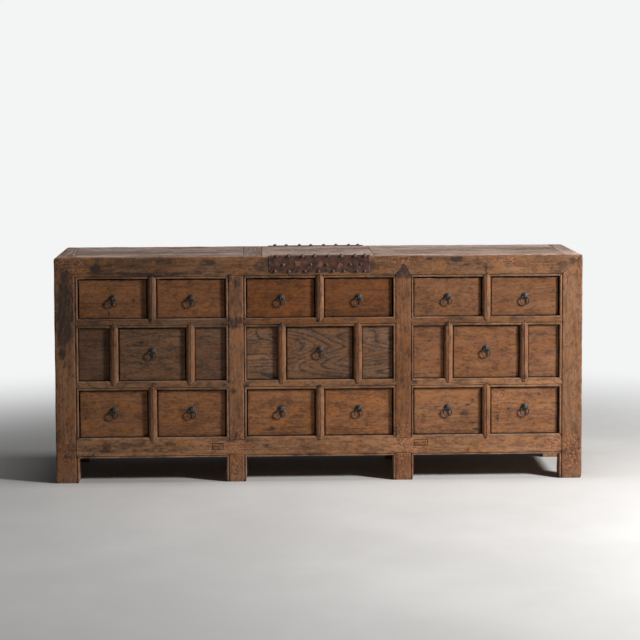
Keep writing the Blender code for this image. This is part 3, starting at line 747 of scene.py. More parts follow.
def prisms_mesh(prisms):
    """Cutters: each is an outline in X and Z, and its low and high Y."""
    points, faces = [], []
    for outline, low, high in prisms:
        base, count = len(points), len(outline)
        points += [(x, low, z) for x, z in outline] + [(x, high, z) for x, z in outline]
        faces.append(tuple(base + i for i in range(count)))
        faces.append(tuple(base + count + i for i in reversed(range(count))))
        for i in range(count):
            k = (i + 1) % count
            faces.append((base + i, base + count + i, base + count + k, base + k))
    return mesh_of("cutter", points, faces)


def cut(mesh, prisms):
    """The mesh without the prisms. Prisms in one call don't touch each other."""
    target = bpy.data.objects.new("target", mesh)
    cutter = bpy.data.objects.new("cutter", prisms_mesh(prisms))
    for obj in (target, cutter):
        bpy.context.scene.collection.objects.link(obj)
    saw = target.modifiers.new("saw", "BOOLEAN")
    saw.operation, saw.solver, saw.object = "DIFFERENCE", "EXACT", cutter
    graph = bpy.context.evaluated_depsgraph_get()
    made = bpy.data.meshes.new_from_object(target.evaluated_get(graph), depsgraph=graph)
    for obj in (target, cutter):
        bpy.data.objects.remove(obj)
    return made


print("cutters reach", THROUGH, "m into the frame")

# %% Tongues and pockets
TONGUE = 0.0115
JOINT_GAP = 0.0008


def tongue_line(low, high, rise, peak=None):
    """(across, forward) of a tongue: 45 degrees at both edges, then flat, or up to a peak, or a point."""
    reach = min(rise, (high - low) / 2)
    first, last = (low + reach, reach), (high - reach, reach)
    if high - low <= 2 * rise:
        crown = [first]
    elif peak:
        crown = [first, ((low + high) / 2, peak), last]
    else:
        crown = [first, last]
    return [(low, 0.0), *crown, (high, 0.0)]


def laid(line, base, sign, upright):
    """A tongue's points as X and Z: upright ones point along Z, the others along X."""
    if upright:
        return [(across, base + sign * forward) for across, forward in line]
    return [(base + sign * forward, across) for across, forward in line]


def shoulder_cuts(low, high, rise, base, sign, upright, peak=None):
    """What is sawn off on both sides of a tongue, and what is taken off behind it."""
    line = tongue_line(low, high, rise, peak)
    tip = max(forward for across, forward in line)
    crown = [i for i, point in enumerate(line) if point[1] == tip]
    first, last = crown[0], crown[-1]
    end = tip + OVER
    before = [(low - OVER, 0.0), *line[: first + 1], (line[first][0], end), (low - OVER, end)]
    after = [(line[last][0], end), *line[last:], (high + OVER, 0.0), (high + OVER, end)]
    behind = rectangle(low - OVER, 0.0, high + OVER, end)
    beside = [(laid(waste, base, sign, upright), FACE - OVER, FACE + 4 * OVER) for waste in (before, after)]
    return beside, [(laid(behind, base, sign, upright), FACE + TONGUE, FACE + THROUGH)]


def rail_ends(mesh, low_x, high_x, low_z, high_z):
    """A rail with both its ends sawn to mitred tongues."""
    for base, sign in ((low_x, -1), (high_x, 1)):
        beside, behind = shoulder_cuts(low_z, high_z, STRIP, base, sign, False)
        mesh = cut(cut(mesh, beside), behind)
    return mesh


def upright_end(mesh, low_x, high_x, rise, base, sign, peak=None):
    """A post or muntin with one end sawn to a tongue, one cut after the other because they can meet."""
    for waste in sum(shoulder_cuts(low_x, high_x, rise, base, sign, True, peak), []):
        mesh = cut(mesh, [waste])
    return mesh


def pocket(low, high, rise, base, sign, upright, peak=None, depth=TONGUE):
    """The housing that takes a tongue."""
    line = tongue_line(low - JOINT_GAP, high + JOINT_GAP, rise + JOINT_GAP, peak)
    mouth = [(low - JOINT_GAP, -OVER), *line, (high + JOINT_GAP, -OVER)]
    return laid(mouth, base, sign, upright), FACE - OVER, FACE + depth + JOINT_GAP


print("a rail's tongue:", tongue_line(*LOWER_RAIL, STRIP))

# %% [markdown]
# ## The marks of use
#
# Burns, ink and damp have left black marks, dirty hands have darkened the wood round the joints and
# along the rails, and feet have pitted it near the floor. A painted texture could hold all that, but it
# would need an unwrapped mesh. Here a mark is a soft ellipse on the front, given by its middle in X and
# Z, its half width, its half height and how black it is, and each mesh picks up the marks that lie over
# it. The ones that stand out are placed one by one. The small ones are left to chance, with a fixed seed.

# %% Marks that stand out
# The dark marks that stand out, by place: middle in X and Z, half width, half height and how black
MARKS = {
    "left end post": (
        (-1.020, 0.585, 0.008, 0.050, 0.75), (-1.010, 0.515, 0.010, 0.022, 0.90),
        (-1.000, 0.750, 0.030, 0.080, 0.52), (-0.990, 0.810, 0.020, 0.028, 0.60),
        (-0.980, 0.605, 0.006, 0.045, 0.70), (-1.005, 0.465, 0.005, 0.007, 0.50)),
    "top rail": (
        (-0.875, 0.850, 0.025, 0.020, 0.66), (-0.660, 0.822, 0.120, 0.008, 0.60),
        (-0.480, 0.833, 0.024, 0.008, 0.52), (-0.460, 0.866, 0.027, 0.006, 0.52),
        (-0.205, 0.865, 0.016, 0.024, 0.46), (0.230, 0.845, 0.008, 0.016, 0.42),
        (0.430, 0.880, 0.012, 0.007, 0.52), (0.540, 0.876, 0.024, 0.011, 0.74),
        (0.580, 0.855, 0.018, 0.006, 0.60), (0.650, 0.858, 0.018, 0.004, 0.64),
        (0.655, 0.840, 0.004, 0.016, 0.66), (0.860, 0.843, 0.004, 0.004, 0.90),
        (0.940, 0.825, 0.028, 0.004, 0.52), (1.000, 0.870, 0.013, 0.012, 0.54)),
    "middle posts": (
        (-0.355, 0.810, 0.011, 0.020, 0.60), (-0.330, 0.785, 0.005, 0.014, 0.60),
        (-0.340, 0.620, 0.023, 0.011, 0.52), (-0.340, 0.360, 0.014, 0.010, 0.52),
        (-0.365, 0.160, 0.009, 0.005, 0.55), (-0.330, 0.182, 0.008, 0.004, 0.60),
        (0.375, 0.390, 0.013, 0.010, 0.55), (0.410, 0.245, 0.014, 0.022, 0.42)),
    "divider rails": (
        (-0.810, 0.610, 0.006, 0.007, 0.50), (-0.290, 0.385, 0.012, 0.010, 0.62),
        (-0.010, 0.637, 0.007, 0.006, 0.70), (-0.005, 0.377, 0.014, 0.006, 0.66),
        (0.050, 0.652, 0.005, 0.004, 0.90), (0.500, 0.620, 0.010, 0.010, 0.62),
        (0.810, 0.408, 0.010, 0.011, 0.62), (0.935, 0.572, 0.011, 0.004, 0.55)),
    "bottom rail": (
        (-0.895, 0.110, 0.004, 0.004, 0.95), (-0.860, 0.122, 0.016, 0.009, 0.50),
        (-0.840, 0.135, 0.016, 0.016, 0.74), (-0.290, 0.163, 0.020, 0.006, 0.46),
        (0.400, 0.148, 0.030, 0.006, 0.46), (0.650, 0.103, 0.034, 0.004, 0.46),
        (1.030, 0.119, 0.004, 0.004, 0.95)),
    "drawer fronts": (
        (-0.830, 0.670, 0.004, 0.020, 0.62), (-0.730, 0.722, 0.007, 0.010, 0.52),
        (-0.190, 0.210, 0.011, 0.012, 0.48), (0.525, 0.196, 0.004, 0.006, 0.90),
        (0.575, 0.263, 0.022, 0.012, 0.46), (0.585, 0.297, 0.010, 0.004, 0.66),
        (0.600, 0.224, 0.017, 0.005, 0.58), (0.605, 0.312, 0.006, 0.010, 0.70),
        (0.620, 0.200, 0.013, 0.005, 0.64), (0.705, 0.243, 0.006, 0.016, 0.66),
        (0.750, 0.277, 0.009, 0.006, 0.70), (0.725, 0.350, 0.017, 0.004, 0.44)),
}
# Broad, faint shades over whole stretches of the frame, written in the same way
HAZES = (
    (-0.720, 0.868, 0.240, 0.030, 0.34), (-0.700, 0.826, 0.300, 0.006, 0.56),
    (-0.420, 0.842, 0.100, 0.030, 0.34), (-0.840, 0.850, 0.040, 0.030, 0.42),
    (-0.600, 0.880, 0.035, 0.008, 0.40), (-0.440, 0.868, 0.030, 0.012, 0.60),
    (-0.998, 0.690, 0.036, 0.160, 0.62), (-0.235, 0.856, 0.026, 0.024, 0.52),
    (0.200, 0.852, 0.022, 0.022, 0.46), (-0.020, 0.832, 0.220, 0.005, 0.40),
    (-0.020, 0.899, 0.220, 0.004, 0.40), (0.520, 0.868, 0.120, 0.020, 0.30),
    (-0.750, 0.140, 0.280, 0.026, 0.42), (-0.020, 0.140, 0.300, 0.026, 0.26),
    (0.630, 0.846, 0.070, 0.016, 0.34),
    (-0.325, 0.735, 0.030, 0.050, 0.30), (-0.330, 0.640, 0.045, 0.016, 0.52),
    (-0.322, 0.790, 0.016, 0.028, 0.50), (0.975, 0.860, 0.045, 0.022, 0.36),
)
# Where feet and brooms have chafed the wood until it is pitted, written in the same way
post_middles = [(low_x + high_x) / 2 for low_x, high_x in posts_x]
CHAFED = (
    (post_middles[2], 0.150, 0.038, 0.075, 0.90), (post_middles[2], 0.060, 0.036, 0.040, 0.45),
    (post_middles[1], 0.160, 0.034, 0.055, 0.75), (post_middles[1], 0.055, 0.036, 0.045, 0.50),
    (post_middles[3], 0.105, 0.040, 0.062, 0.80), (post_middles[0], 0.130, 0.036, 0.060, 0.45),
    (-0.975, 0.860, 0.060, 0.028, 0.55), (post_middles[2] + 0.060, 0.130, 0.040, 0.022, 0.60),
    (0.930, 0.140, 0.045, 0.024, 0.55), (-0.430, 0.140, 0.050, 0.022, 0.50),
    (0.930, 0.400, 0.030, 0.016, 0.60), (0.330, 0.870, 0.060, 0.020, 0.45),
    (0.740, 0.870, 0.070, 0.018, 0.45), (0.720, 0.300, 0.018, 0.050, 0.60),
)
print("placed marks:", {where: len(marks) for where, marks in MARKS.items()})

# %% Marks left to chance
CHANCE = 4
SMUDGES = 90
SPOTS = 110
FRONT_SPAN = (-1.04, 1.04)
FRONT_HEIGHTS = (0.02, 0.88)
# Lines that dirt gathers along: just inside the edges of the rails, and on the bottom and top rails
SMUDGE_LINES = (RAIL_BASE + 0.006, UPPER_RAIL[0] + 0.004, UPPER_RAIL[1] - 0.006, LOWER_RAIL[0] + 0.004,
                LOWER_RAIL[1] - 0.006, 0.105, 0.172, 0.86)
# The ranges of half width, half height and strength of each sort
JOINT_RANGES = ((0.012, 0.030), (0.012, 0.026), (0.10, 0.40))
SMUDGE_RANGES = ((0.012, 0.060), (0.005, 0.013), (0.14, 0.42))
SPOT_RANGES = ((0.004, 0.012), (0.003, 0.010), (0.25, 0.55))
JOINT_SPAN = 0.02
chance = np.random.default_rng(CHANCE)


def drawn(ranges):
    """A random number out of each range, in turn."""
    return [chance.uniform(*span) for span in ranges]


smudges = list(HAZES)
rail_spans = (LOWER_RAIL, UPPER_RAIL, (rail_high.z, rail_high.z + JOINT_SPAN),
              (RAIL_BASE, RAIL_BASE + JOINT_SPAN))
for post_span in posts_x:
    for low_z, high_z in rail_spans:
        for edge in post_span:
            smudges.append((edge, (low_z + high_z) / 2, *drawn(JOINT_RANGES)))
for count in range(SMUDGES):
    x, z = chance.uniform(*FRONT_SPAN), chance.choice(SMUDGE_LINES)
    smudges.append((x, z, *drawn(SMUDGE_RANGES)))
for count in range(SPOTS):
    smudges.append(drawn((FRONT_SPAN, FRONT_HEIGHTS, *SPOT_RANGES)))
STAINS = sum(MARKS.values(), ()) + tuple(smudges)
print("stains on the front:", len(STAINS))

# %% [markdown]
# ## Ageing a mesh
#
# New timber out of the planer looks wrong on an old chest. Each mesh is worn in three steps. First the
# bend at every point is measured: a point whose neighbours all lie below its tangent plane is on an
# arris. Then arrises are nibbled back by a random field, more here and less there, and flat faces are
# hollowed by a slow one, always inwards, so that no piece grows into its neighbour. Last, the bend is
# stored on the mesh for the wear masks, together with the board's own coordinates for the grain.
#
# The random field is a sum of sine waves in random directions. It is smooth, quick in numpy and the
# same on every run, because each piece takes its seed from its name.

# %% Random fields and bends
WAVES = 6
WAVE_RANGE = (0.6, 1.5)
BEND_GAIN = 2.6


def seed_of(name):
    return zlib.crc32(name.encode())


def field(points, seed, size):
    """A smooth random field, mostly between -1 and 1, with features of the given size."""
    rng = np.random.default_rng(seed)
    total = np.zeros(len(points))
    for _ in range(WAVES):
        direction = rng.normal(size=3)
        direction *= 2 * math.pi * rng.uniform(*WAVE_RANGE) / (size * np.linalg.norm(direction))
        total += np.sin(points @ direction + rng.uniform(0, 2 * math.pi))
    return total / math.sqrt(WAVES)


def numbers(collection, key, width=3, kind=np.float64):
    """One property of all the items of a mesh, as rows."""
    found = np.empty(len(collection) * width, kind)
    collection.foreach_get(key, found)
    return found.reshape(-1, width)


def bend_of(mesh, points):
    """Above zero where the surface is an arris, below zero in a groove, for each point."""
    normals = numbers(mesh.vertex_normals, "vector")
    pairs = numbers(mesh.edges, "vertices", 2, np.int32)
    first, second = pairs[:, 0], pairs[:, 1]
    run = points[second] - points[first]
    run /= np.maximum(np.linalg.norm(run, axis=1), 1e-9)[:, None]
    falls = np.zeros(len(points))
    np.add.at(falls, first, -(normals[first] * run).sum(1))
    np.add.at(falls, second, (normals[second] * run).sum(1))
    count = np.bincount(pairs.ravel(), minlength=len(points))
    return np.clip(BEND_GAIN * falls / np.maximum(count, 1), -1, 1), normals


print("a field at the origin:", field(np.zeros((1, 3)), CHANCE, 0.05).round(3))

# %% Painted gap shade, and the strips along the beads
STAIN_REACH = 1.6
# How painted shade on the walls of the gaps fades in with depth, and how far from an opening's edge it
# reaches
GAP_FADE = 0.0024
GAP_REACH = 0.0035
BEAD_MARGIN = 0.0008
corner_places = ("top_left", "top_right", "bottom_left", "bottom_right")
cells = [opening(bay, place) for bay in BAYS for place in corner_places]
for bay in BAYS:
    low_x, high_x, low_z, high_z = opening(bay, "middle")
    cells += [(low_x, high_x, low_z, high_z), (bay_x[bay][0], low_x - MUNTIN_WIDTH, low_z, high_z),
              (high_x + MUNTIN_WIDTH, bay_x[bay][1], low_z, high_z)]
under_bays = [(*bay_x[bay], -OVER, rail_low.z) for bay in BAYS]


def stain_at(points, stains_and_shades):
    """Soft blotches on the front, as the largest of the ellipses that reach a point."""
    total = np.zeros(len(points))
    for x, z, wide, high, strength in stains_and_shades:
        away = np.hypot((points[:, 0] - x) / wide, (points[:, 2] - z) / high)
        total = np.maximum(total, strength * np.clip(STAIN_REACH - away, 0, 1))
    return total * (points[:, 1] < FACE + DRAWER_RECESS + SUPPORT)


def inside_of(points, cell):
    """How far inside an opening each point lies, below zero outside it."""
    low_x, high_x, low_z, high_z = cell
    x, z = points[:, 0], points[:, 2]
    return np.minimum.reduce([x - low_x, high_x - x, z - low_z, high_z - z])


def gap_shade(points, start):
    """Painted shade on the walls of the gaps round drawers and panels, from a depth behind the face inwards.
    """
    depth = np.clip((points[:, 1] - start) / GAP_FADE, 0, 1)
    dirt = np.zeros(len(points))
    for cell in cells:
        dirt[np.abs(inside_of(points, cell) - GAP_REACH / 2) < GAP_REACH] = 1
    return depth * dirt


def bead_strips(points):
    """One on the beads that run round the openings, where the tint is cooler and the grooves are darkened
    less.
    """
    strips = np.zeros(len(points))
    for cell in cells + under_bays:
        away = inside_of(points, cell)
        strips[(away > -STRIP - BEAD_MARGIN) & (away < FIT_GAP)] = 1
    return strips


print("openings for drawers and panels:", len(cells))

# %% Worn corners and feet
# The radius that each top corner has been worn to, by the sign of its X
CORNER_ROUND = {-1: 0.014, 1: 0.011}
FOOT_ROUND = 0.0055
FOOT_HEIGHT = 0.012


def soft_corners(points):
    """Both top corners of the chest, worn round as one, across all the pieces that meet there."""
    for sign, radius in CORNER_ROUND.items():
        centre = np.array([sign * (cad_high.x - radius), TOP - radius])
        away = points[:, [0, 2]] - centre
        far = np.linalg.norm(away, axis=1)
        out = (away[:, 0] * sign > 0) & (away[:, 1] > 0) & (far > radius)
        points[out, 0] = centre[0] + away[out, 0] * radius / far[out]
        points[out, 2] = centre[1] + away[out, 1] * radius / far[out]


def soft_feet(points, normals):
    """The lower edges of the feet, drawn in a little where they have stood on damp floors."""
    foot = FOOT_ROUND * np.clip(1 - points[:, 2] / FOOT_HEIGHT, 0, 1) ** 2
    points[:, :2] -= normals[:, :2] * foot[:, None]


print("corners are worn to", CORNER_ROUND)

# %% Wear, and what the mesh stores
# Sizes of the features of the random fields, and how the two sorts of bites are weighed
LONG_BITE = 0.055
BITE_START = 0.15
SHORT_BITE = 0.019
SHORT_SHARE = 0.35
HOLLOW_SIZE = 0.14
DUST_SIZE = 0.03
DUST_SWING = 0.3
DUSTY = 0.045
BEAD_GROOVE_EASE = 0.55
WARM_GREEN = 0.42
# What chafing, dust near the floor and the strips along the beads add to red, green and blue, as shares
CHAFE_TINT = (0.10, -0.03, -0.12)
FLOOR_DUST = (0.22, 0.38, 0.55)
BEAD_STRIP_TINT = (-0.08, -0.02, 0.12)
# How far apart the boards lie in the noise, so that no two share their grain
GRAIN_SHIFT = 9


def moved(mesh, points):
    """Puts the points of a mesh in new places."""
    mesh.vertices.foreach_set("co", points.astype(np.float32).ravel())


def store(mesh, name, kind, values):
    attribute = mesh.attributes.new(name, kind, "POINT")
    key = "vector" if kind == "FLOAT_VECTOR" else "value"
    attribute.data.foreach_set(key, values.astype(np.float32).ravel())


def age(mesh, place, seed, tone, warm, nibble, hollow, stains_and_shades, dirt_from, has_bead_strips):
    """Wears the mesh and stores what its material reads."""
    points = numbers(mesh.vertices, "co")
    bend, normals = bend_of(mesh, points)
    bites = np.clip(field(points, seed, LONG_BITE) - BITE_START, 0, 1)
    bites += SHORT_SHARE * np.clip(field(points, seed + 1, SHORT_BITE), 0, 1)
    inwards = nibble * bites * np.clip(bend, 0, 1)
    inwards += hollow * (0.5 + 0.5 * np.clip(field(points, seed + 2, HOLLOW_SIZE), -1, 1))
    points = points - normals * inwards[:, None]
    soft_feet(points, normals)
    soft_corners(points)
    moved(mesh, points)

    home = np.array(place.inverted())
    shift = np.random.default_rng(seed + 3).uniform(-GRAIN_SHIFT, GRAIN_SHIFT, 3)
    store(mesh, "grain", "FLOAT_VECTOR", points @ home[:3, :3].T + home[:3, 3] + shift)
    beads = bead_strips(points) if has_bead_strips else np.zeros(len(points))
    # The grooves beside the beads are darkened less than the other hollows
    store(mesh, "edge", "FLOAT", np.where(bend < 0, bend * (1 - BEAD_GROOVE_EASE * beads), bend))
    # Blotches from the list, and behind the face painted shade on the walls of the gaps, are stored as one
    # number
    stains_with_gap_shade = stain_at(points, stains_and_shades)
    if dirt_from is not None:
        stains_with_gap_shade = np.maximum(stains_with_gap_shade, gap_shade(points, dirt_from))
    store(mesh, "stain_and_shade", "FLOAT", stains_with_gap_shade)
    chafe = stain_at(points, CHAFED)
    store(mesh, "chafe", "FLOAT", chafe)
    dust = np.clip(1 - points[:, 2] / DUSTY + DUST_SWING * field(points, seed + 4, DUST_SIZE), 0, 1)
    tint = (1 + tone) * np.array([1.0, 1 - WARM_GREEN * warm, 1 - warm])
    for share, change in ((chafe, CHAFE_TINT), (dust, FLOOR_DUST), (beads, BEAD_STRIP_TINT)):
        tint = tint * (1 + share[:, None] * change)
    store(mesh, "tint", "FLOAT_VECTOR", tint)


print("dust lies up to", DUSTY, "m above the floor")

# %% Finished pieces
dressed = []


def piece(name, mesh, place, finish, node, body="root", tone=0.0, warm=0.0, nibble=0.0016, hollow=0.0004,
          corner=38, stains_and_shades=STAINS, dirt_from=None, has_bead_strips=False):
    """A finished piece: aged, shaded, with its material, on its body, in place of its node."""
    mesh.name = name
    age(mesh, place, seed_of(name), tone, warm, nibble, hollow, stains_and_shades, dirt_from, has_bead_strips)
    mesh.materials.clear()
    mesh.materials.append(finishes[finish])
    mesh.shade_smooth()
    mesh.set_sharp_from_angle(angle=math.radians(corner))
    obj = bpy.data.objects.new(name, mesh)
    bpy.context.scene.collection.objects.link(obj)
    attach(obj, body)
    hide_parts(node)
    dressed.append(obj)
    return obj


def board(name, low, high, way, finish, node, body="root", radius=0.0018, cell=0.018, **wear):
    """A squared board between two corners of the room, with its grain and face as way says."""
    low, high = Vector(low), Vector(high)
    size, origin = [], Vector(low)
    for axis in way:
        number = next(i for i in range(3) if axis[i])
        size.append(high[number] - low[number])
        # An axis that runs backwards starts at the high corner
        if axis[number] < 0:
            origin[number] = high[number]
    place = axes(origin, *way)
    points, faces = block(size, radius, cell)
    return piece(name, mesh_of(name, points, faces, place), place, finish, node, body, **wear)


def report(step):
    """Says what is done and how large the model is so far."""
    faces = sum(len(obj.data.polygons) for obj in dressed)
    print(f"{step} done, {len(dressed)} pieces and {faces} faces so far")


# %% [markdown]
# ## Posts
#
# Four posts stand in front. The two at the ends are mitred to the top rail like a picture frame, with
# the mitre running from the corner of the opening to the corner of the chest. The two in the middle run
# up to the rail: the left one with a short mitred tongue, the right one with a spear point let into it.
# Leg and post are one timber. The long bottom rail is lapped across the middle posts, so they are cut
# back there by nearly half their depth.

# %% Mitres and pockets of the posts
PAST_BOTH_ENDS = 2.0
bed_face = FACE + 0.010
top_bed = rectangle(-PAST_BOTH_ENDS, SHOULDER, PAST_BOTH_ENDS, TOP + OVER)


def corner_mitre(inner_x, outer_x, above):
    """The waste beside the mitre from the opening's corner to the chest's corner."""
    inner, outer = Vector((inner_x, RAIL_BASE)), Vector((outer_x, TOP))
    far = outer + (outer - inner)
    if above:
        back_x = inner_x - (outer_x - inner_x)
        return [tuple(inner), (back_x, RAIL_BASE), (back_x, far.y), tuple(far)]
    lift = Vector((0, JOINT_GAP))
    return [tuple(inner + lift), tuple(far + lift), (far.x, RAIL_BASE - OVER), (inner_x, RAIL_BASE - OVER)]


def rail_pockets(edge, sign):
    """Pockets in a post for the divider rails that come in at one edge."""
    return [pocket(*span, STRIP, edge, sign, False) for span in (LOWER_RAIL, UPPER_RAIL)]


print("the top is bedded from", round(SHOULDER, 4), "to", TOP)

# %% Front posts
LAP = 0.025
SPEAR = 0.055
END_POST_ARRIS = 0.005
# Behind this depth the walls of the openings take painted shade
TIMBER_SHADE_FROM = FACE + 0.0034
END_POST_TONES = {"left": -0.15, "right": -0.19}
MID_POST_SHADES = {"left": (-0.06, 0.02), "right": (-0.22, 0.26)}
SPEAR_MARKS = ((0.329, 0.845, 0.055, 0.028, 0.80), (0.329, 0.815, 0.060, 0.014, 0.55))


def end_post(side, sign, post_x):
    low, high = post_x
    inner_x, outer_x = (high, low) if sign < 0 else (low, high)
    beads = (0.0, END_POST_BEAD) if sign < 0 else (END_POST_BEAD, 0.0)
    outline = timber_outline(high - low, front_depth, *beads, arris=END_POST_ARRIS)
    place = axes((low, FACE, 0), *UPRIGHT)
    mesh = mesh_of(f"end_post_{side}", *swept(outline, TOP), place)
    mesh = cut(mesh, [right_through(corner_mitre(inner_x, outer_x, True))])
    mesh = cut(mesh, [(top_bed, bed_face, FACE + THROUGH)])
    bottom = pocket(rail_low.z, rail_high.z, STRIP, inner_x, sign, False)
    mesh = cut(mesh, rail_pockets(inner_x, sign) + [bottom])
    piece(f"end_post_{side}", mesh, place, "posts", f"front_end_post_{side}", tone=END_POST_TONES[side],
          nibble=0.0035, hollow=0.0010, dirt_from=TIMBER_SHADE_FROM)


def mid_post(side, post_x, peak):
    low, high = post_x
    place = axes((low, FACE, 0), *UPRIGHT)
    outline = timber_outline(high - low, front_depth, BEAD, BEAD)
    mesh = mesh_of(f"mid_post_{side}", *swept(outline, RAIL_BASE + (peak or STRIP)), place)
    mesh = upright_end(mesh, low, high, STRIP, RAIL_BASE, 1, peak)
    line = tongue_line(low, high, STRIP)
    lap = [(low - OVER, rail_high.z), *laid(line, rail_high.z, -1, True), (high + OVER, rail_high.z),
           (high + OVER, rail_low.z), *reversed(laid(line, rail_low.z, 1, True)), (low - OVER, rail_low.z)]
    mesh = cut(mesh, [(lap, FACE - OVER, FACE + LAP)])
    mesh = cut(mesh, rail_pockets(low, 1) + rail_pockets(high, -1))
    tone, warm = MID_POST_SHADES[side]
    piece(f"mid_post_{side}", mesh, place, "posts", f"front_mid_post_{side}", tone=tone, warm=warm,
          nibble=0.0022, hollow=0.0008, stains_and_shades=STAINS + (SPEAR_MARKS if peak else ()), dirt_from=TIMBER_SHADE_FROM,
          has_bead_strips=True)


end_post("left", -1, posts_x[0])
mid_post("left", posts_x[1], None)
mid_post("right", posts_x[2], SPEAR)
end_post("right", 1, posts_x[3])
report("posts")

# %% [markdown]
# ## Rails
#
# The top rail is the heaviest piece of the front. Its lower edge is beaded and its top arris is worn
# round. Behind a narrow lip it is cut down to a bed for the boards of the top. The bottom rail is one
# length too, and six short divider rails lie between the rows of drawers.

# %% Top rail
TOP_RAIL_ARRIS = 0.0042
corner_mitres = [corner_mitre(posts_x[0][1], posts_x[0][0], False),
                 corner_mitre(posts_x[3][0], posts_x[3][1], False)]


def top_rail_outline(depth, bead):
    """The L-shaped section of a long top rail: face, lip, bed for the boards, back."""
    height = TOP - RAIL_BASE
    lip = bed_face - FACE
    bed = height - (TOP - SHOULDER)
    back = [(height, -lip + 0.001), (height - 0.001, -lip), (bed, -lip), (bed, -depth),
            (height / 2, -depth), (0.0, -depth), (0.0, -depth / 2)]
    return face_line(height, bead, arris=TOP_RAIL_ARRIS) + back


def muntin_spans(bay, row):
    """Low and high X of the muntins that stand in a row of a bay."""
    if row == "middle":
        low, high = opening(bay, "middle")[:2]
        return [(low - MUNTIN_WIDTH, low), (high, high + MUNTIN_WIDTH)]
    return [(opening(bay, f"{row}_left")[1], opening(bay, f"{row}_right")[0])]


def point_pockets(row, base, sign, bays=BAYS):
    """Pockets in a rail for the points of the muntins of a row."""
    spans = [span for bay in bays for span in muntin_spans(bay, row)]
    return [pocket(*span, MUNTIN_WIDTH / 2, base, sign, True) for span in spans]


rail_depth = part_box("top_front_rail")[1].y - FACE
place = axes((cad_low.x, FACE, RAIL_BASE), *LENGTHWISE)
mesh = mesh_of("top_rail_front", *swept(top_rail_outline(rail_depth, BEAD), cad_high.x - cad_low.x), place)
mesh = cut(mesh, [right_through(waste) for waste in corner_mitres])
heads = [pocket(*posts_x[1], STRIP, RAIL_BASE, 1, True),
         pocket(*posts_x[2], STRIP, RAIL_BASE, 1, True, SPEAR)]
mesh = cut(mesh, heads + point_pockets("top", RAIL_BASE, 1))
piece("top_rail_front", mesh, place, "rails", "top_front_rail", tone=-0.19, warm=0.05, nibble=0.0045,
      hollow=0.0012, dirt_from=TIMBER_SHADE_FROM, has_bead_strips=True)
report("top rail")

# %% Bottom rail
UPPER_ARRIS = 0.0045
# Where the rail was patched: low X and Z, high X and Z of each plug
PLUGS = {"left": (-0.4275, 0.1285, -0.3825, 0.1535), "right": (0.371, 0.137, 0.425, 0.161)}
PLUG_DEPTH = 0.007
PLUG_GAP = 0.0014
PLUG_SINK = 0.0006
PLUG_CLEAR = 0.0004
outline = timber_outline(rail_high.z - rail_low.z, rail_high.y - FACE, LOWER_BEAD, arris=UPPER_ARRIS)
place = axes((rail_low.x - STRIP, FACE, rail_low.z), *LENGTHWISE)
mesh = mesh_of("bottom_rail_front", *swept(outline, rail_high.x - rail_low.x + 2 * STRIP), place)
mesh = rail_ends(mesh, rail_low.x, rail_high.x, rail_low.z, rail_high.z)
laps = [rectangle(low, rail_low.z - OVER, high, rail_high.z + OVER) for low, high in posts_x[1:3]]
mesh = cut(mesh, [(lap, FACE + LAP - JOINT_GAP, FACE + THROUGH) for lap in laps])
heads = [pocket(*span, STRIP, base, sign, True, depth=LAP) for span in posts_x[1:3]
         for base, sign in ((rail_high.z, -1), (rail_low.z, 1))]
mesh = cut(mesh, heads)
mesh = cut(mesh, point_pockets("bottom", rail_high.z, -1))
mesh = cut(mesh, [(rectangle(*plug), FACE - OVER, FACE + PLUG_DEPTH) for plug in PLUGS.values()])
piece("bottom_rail_front", mesh, place, "rails", "bottom_front_rail", tone=0.12, nibble=0.0024, hollow=0.0009,
      dirt_from=TIMBER_SHADE_FROM, has_bead_strips=True)
for side, (low_x, low_z, high_x, high_z) in PLUGS.items():
    low = (low_x + PLUG_GAP, FACE + PLUG_SINK, low_z + PLUG_GAP)
    high = (high_x - PLUG_GAP, FACE + PLUG_DEPTH - PLUG_CLEAR, high_z - PLUG_GAP)
    board(f"rail_plug_{side}", low, high, LENGTHWISE, "rails", "bottom_front_rail", tone=0.04, radius=0.0022,
          cell=0.006)
report("bottom rail")

# %% Divider rails
DIVIDER_DEPTH = 0.030
# Tone and warmth of the rail between each two rows
DIVIDER_SHADES = {
    "left": {"lower": (-0.13, 0.0), "upper": (-0.45, -0.08)},
    "centre": {"lower": (-0.10, 0.08), "upper": (-0.32, 0.40)},
    "right": {"lower": (0.08, 0.04), "upper": (-0.20, 0.28)},
}


def divider_rail(bay, level, span, above, below):
    low_x, high_x = bay_x[bay]
    low_z, high_z = span
    place = axes((low_x - STRIP, FACE, low_z), *LENGTHWISE)
    outline = timber_outline(high_z - low_z, DIVIDER_DEPTH, BEAD, arris=UPPER_ARRIS)
    mesh = mesh_of("divider", *swept(outline, high_x - low_x + 2 * STRIP), place)
    mesh = rail_ends(mesh, low_x, high_x, low_z, high_z)
    mesh = cut(mesh, point_pockets(above, high_z, -1, [bay]) + point_pockets(below, low_z, 1, [bay]))
    tone, warm = DIVIDER_SHADES[bay][level]
    piece(f"divider_rail_{bay}_{level}", mesh, place, "rails", f"divider_frame_{bay}", tone=tone, warm=warm,
          nibble=0.0022, dirt_from=TIMBER_SHADE_FROM, has_bead_strips=True)


for bay in BAYS:
    divider_rail(bay, "lower", LOWER_RAIL, "middle", "bottom")
    divider_rail(bay, "upper", UPPER_RAIL, "top", "middle")
report("divider rails")

# %% [markdown]
# ## Muntins and fixed panels
#
# Twelve short uprights part the openings. From rounded outer edges their two flanks rise to a grooved
# ridge that stands a little proud of the rails, and both ends are sawn to points that lie in the rails.
# Beside each middle drawer two narrow panels are fixed, set back as far as the drawers.

